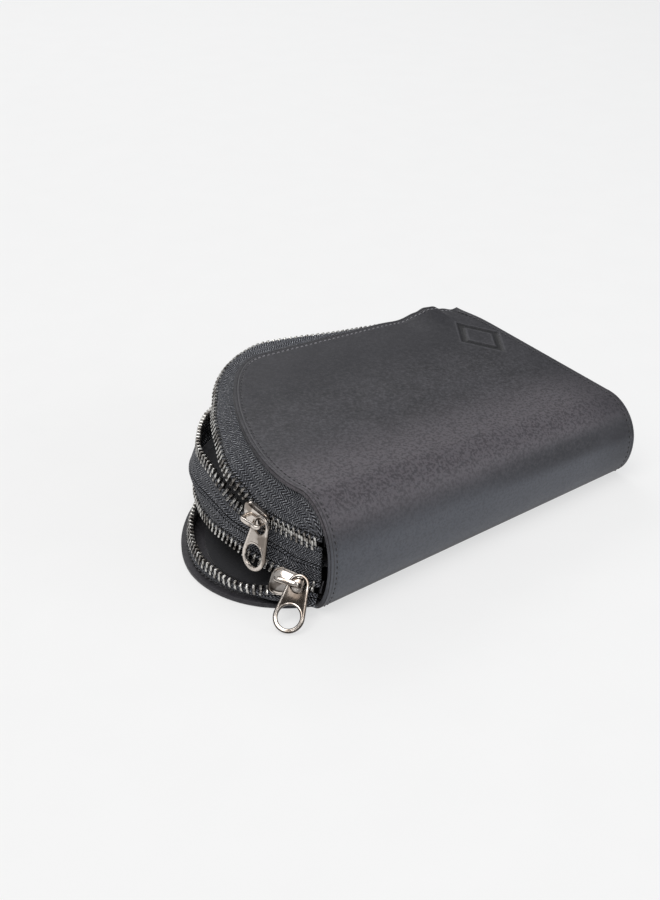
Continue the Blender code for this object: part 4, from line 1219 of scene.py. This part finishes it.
def weave_material():
    """Navy-black woven tape: herringbone twill with light flecks."""
    s = Shader("herringbone_tape", 0.78, Specular_IOR_Level=0.22, Sheen_Weight=0.08, Sheen_Roughness=0.5)
    run, side = s.attribute("run"), s.attribute("side")
    drift = s.times(s.noise(400.0, 2.0), 0.5)
    phase = s.math("ADD", s.scaled(s.math("PINGPONG", side, 1.7), 1.2, run), drift)
    fuzz = s.noise(2000.0, 3.0, 0.65)
    crest = s.scaled(s.wave(phase, 1.25), 0.55, s.times(s.wave(side, 0.62), 0.16))
    level = s.math("ADD", crest, s.scaled(fuzz, 1.1, -0.55))
    colour = s.mix(s.ramp(level, -0.20, 0.65), (0.0020, 0.0024, 0.0040), (0.142, 0.149, 0.172))
    fleck = s.times(s.ramp(s.noise(1300.0, 2.0, 0.6), 0.50, 0.64), s.ramp(level, 0.0, 0.45))
    colour = s.mix(s.times(fleck, 0.75), colour, (0.45, 0.46, 0.49))
    return s.finish(colour, s.scaled(fuzz, 0.2, 0.66), s.bump(level, 0.00020))


def cloth_material(name, dark, light):
    """Fine plain-woven cloth."""
    s = Shader(name, 0.85, Specular_IOR_Level=0.25, Sheen_Weight=0.3, Sheen_Roughness=0.5)
    x, y, z = (s.wave(s.axis(index), 0.5 * MM) for index in range(3))
    weave = s.times(s.math("ADD", x, z), y)
    fuzz = s.noise(1800.0, 3.0, 0.6)
    level = s.scaled(weave, 0.2, fuzz)
    colour = s.mix(s.ramp(level, 0.2, 0.8), dark, light)
    colour = s.mix(s.ramp(s.noise(60.0, 3.0), 0.3, 0.7, 0.0, 0.35), colour, dark)
    return s.finish(colour, s.ramp(fuzz, 0.0, 1.0, 0.75, 0.95), s.bump(level, 0.00010, 0.7))


def thread_material():
    """Waxed dark thread, with painted light that makes the stitches along the back edge paler."""
    s = Shader("waxed_thread", 0.55, Specular_IOR_Level=0.4, Sheen_Weight=0.2)
    twist = s.math("SINE", s.times(s.noise(1200.0, 2.0), 30.0))
    level = s.scaled(twist, 0.25, s.noise(2500.0, 2.0))
    colour = s.mix(s.ramp(level, 0.2, 0.8), (0.010, 0.010, 0.012), (0.048, 0.047, 0.052))
    # Painted light: stitches near the back edge are made paler.
    colour = s.mix(s.ramp(s.axis(1), 0.044, 0.050, 0.0, 0.9), colour, (0.19, 0.185, 0.20))
    return s.finish(colour, s.ramp(level, 0.0, 1.0, 0.5, 0.7), s.bump(level, 0.00006, 0.6))


def metal_material(name, colour, dark, rough_low, rough_high, grime):
    """Polished plated metal with fine scratches, smudges and darker spots and patches."""
    s = Shader(name, rough_low, 1.0)
    smudge = s.noise(420.0, 4.0, 0.6)
    scratch = s.noise(5200.0, 2.0, 0.5, s.stretched(1.0, 0.12, 0.3))
    spots = s.ramp(s.noise(1500.0, 3.0, 0.6), 0.52, 0.74)
    patch = s.ramp(s.noise(190.0, 2.0, 0.5), 0.48, 0.60)
    # The last layer is a painted dark reflection, read from an attribute that only the pulls carry.
    tarnished = tuple(0.32 * c for c in dark)
    for mask, share, shade in ((spots, grime, dark), (patch, grime * 2.2, dark),
                               (s.attribute("tarnish"), 0.9, tarnished)):
        colour = s.mix(s.times(mask, share), colour, shade)
    rough = s.math("ADD", s.ramp(smudge, 0.3, 0.75, rough_low, rough_high),
                   s.times(s.ramp(scratch, 0.55, 0.75), 0.08))
    normal = s.bump(scratch, 0.000012, 0.35)
    return s.finish(colour, rough, s.bump(smudge, 0.00006, 0.25, normal))


# ---------------------------------------------------------------- studio
def sky():
    """World light: dark below and pale above."""
    world = bpy.data.worlds.new("studio")
    bpy.context.scene.world = world
    world.use_nodes = True
    nodes = Nodes(world.node_tree)
    place = nodes.node("ShaderNodeTexCoord").outputs["Generated"]
    height = nodes.node("ShaderNodeSeparateXYZ", {0: place}).outputs[2]
    background = world.node_tree.nodes["Background"]
    nodes.feed(background.inputs["Color"], nodes.mix(nodes.ramp(height, 0.10, 0.65), SKY_LOW, SKY_HIGH))
    background.inputs["Strength"].default_value = SKY_STRENGTH


def pale_floor():
    """Large pale floor just under the case."""
    mesh = bpy.data.meshes.new("floor")
    corners = [(x * FLOOR_REACH, y * FLOOR_REACH, FLOOR_Z) for x, y in ((-1, -1), (1, -1), (1, 1), (-1, 1))]
    mesh.from_pydata(corners, [], [(0, 1, 2, 3)])
    s = Shader("pale_floor", 0.9, Specular_IOR_Level=0.1, Emission_Color=(1.0, 1.0, 1.0, 1.0),
               Emission_Strength=FLOOR_GLOW)
    mesh.materials.append(s.finish(s.mix(s.noise(40.0, 4.0), (0.24, 0.24, 0.24), (0.26, 0.26, 0.26))))
    new_object("floor", mesh)


def studio():
    """World light, floor, three soft lights and the camera."""
    sky()
    pale_floor()
    for name, place, wide, tall, power, colour in LIGHTS:
        data = bpy.data.lights.new(name, "AREA")
        data.shape = "RECTANGLE"
        data.size, data.size_y = wide, tall
        data.energy = power
        data.color = colour
        lamp = new_object(name, data)
        lamp.location = place
        lamp.rotation_euler = (Vector(LIGHT_AIM) - Vector(place)).to_track_quat("-Z", "Y").to_euler()
    data = bpy.data.cameras.new("camera")
    data.sensor_fit = "VERTICAL"
    data.sensor_height = 36.0
    data.lens = CAMERA_LENS
    data.clip_start = 0.01
    camera = new_object("camera", data)
    camera.location = CAMERA_PLACE
    camera.rotation_mode = "QUATERNION"
    camera.rotation_quaternion = Vector(CAMERA_DIRECTION).to_track_quat("-Z", "Y")
    bpy.context.scene.camera = camera
    bpy.context.scene.view_settings.view_transform = "Standard"


def main():
    """Build every piece round the frame."""
    leather = leather_material()
    weave = weave_material()
    thread = thread_material()
    cloth = cloth_material("lining_weave", (0.004, 0.004, 0.006), (0.018, 0.019, 0.024))
    binding = cloth_material("binding_ribbon", (0.014, 0.015, 0.019), (0.050, 0.052, 0.060))
    silver = metal_material("zip_silver", (0.62, 0.61, 0.585), (0.22, 0.205, 0.19), 0.20, 0.34, 0.5)
    nickel = metal_material("polished_nickel", (0.70, 0.64, 0.585), (0.16, 0.125, 0.10), 0.10, 0.22, 0.35)
    # Painted shade: near-black metal for the spine stops, which sit in the shadowed gap.
    painted_shade_metal = metal_material("painted_shade_steel", (0.05, 0.05, 0.055), (0.015, 0.015, 0.016), 0.35, 0.5, 0.4)
    grid, normals = leather_cover(leather)
    cover_stitches(grid, normals, thread)
    lining_sheet(cloth)
    zip_tapes(weave, thread)
    band_seam(weave)
    for name in ROWS:
        bead_cord(name, weave)
    teeth_rows(silver)
    stops(silver, painted_shade_metal)
    for which in ("a", "b"):
        slider_body(which, nickel)
        crown_bridge(which, nickel)
        pull_tab(which, nickel)
    divider_board(cloth, binding)
    end_gusset("cloth_upper", True, cloth)
    end_gusset("cloth_lower", False, cloth)
    studio()


main()
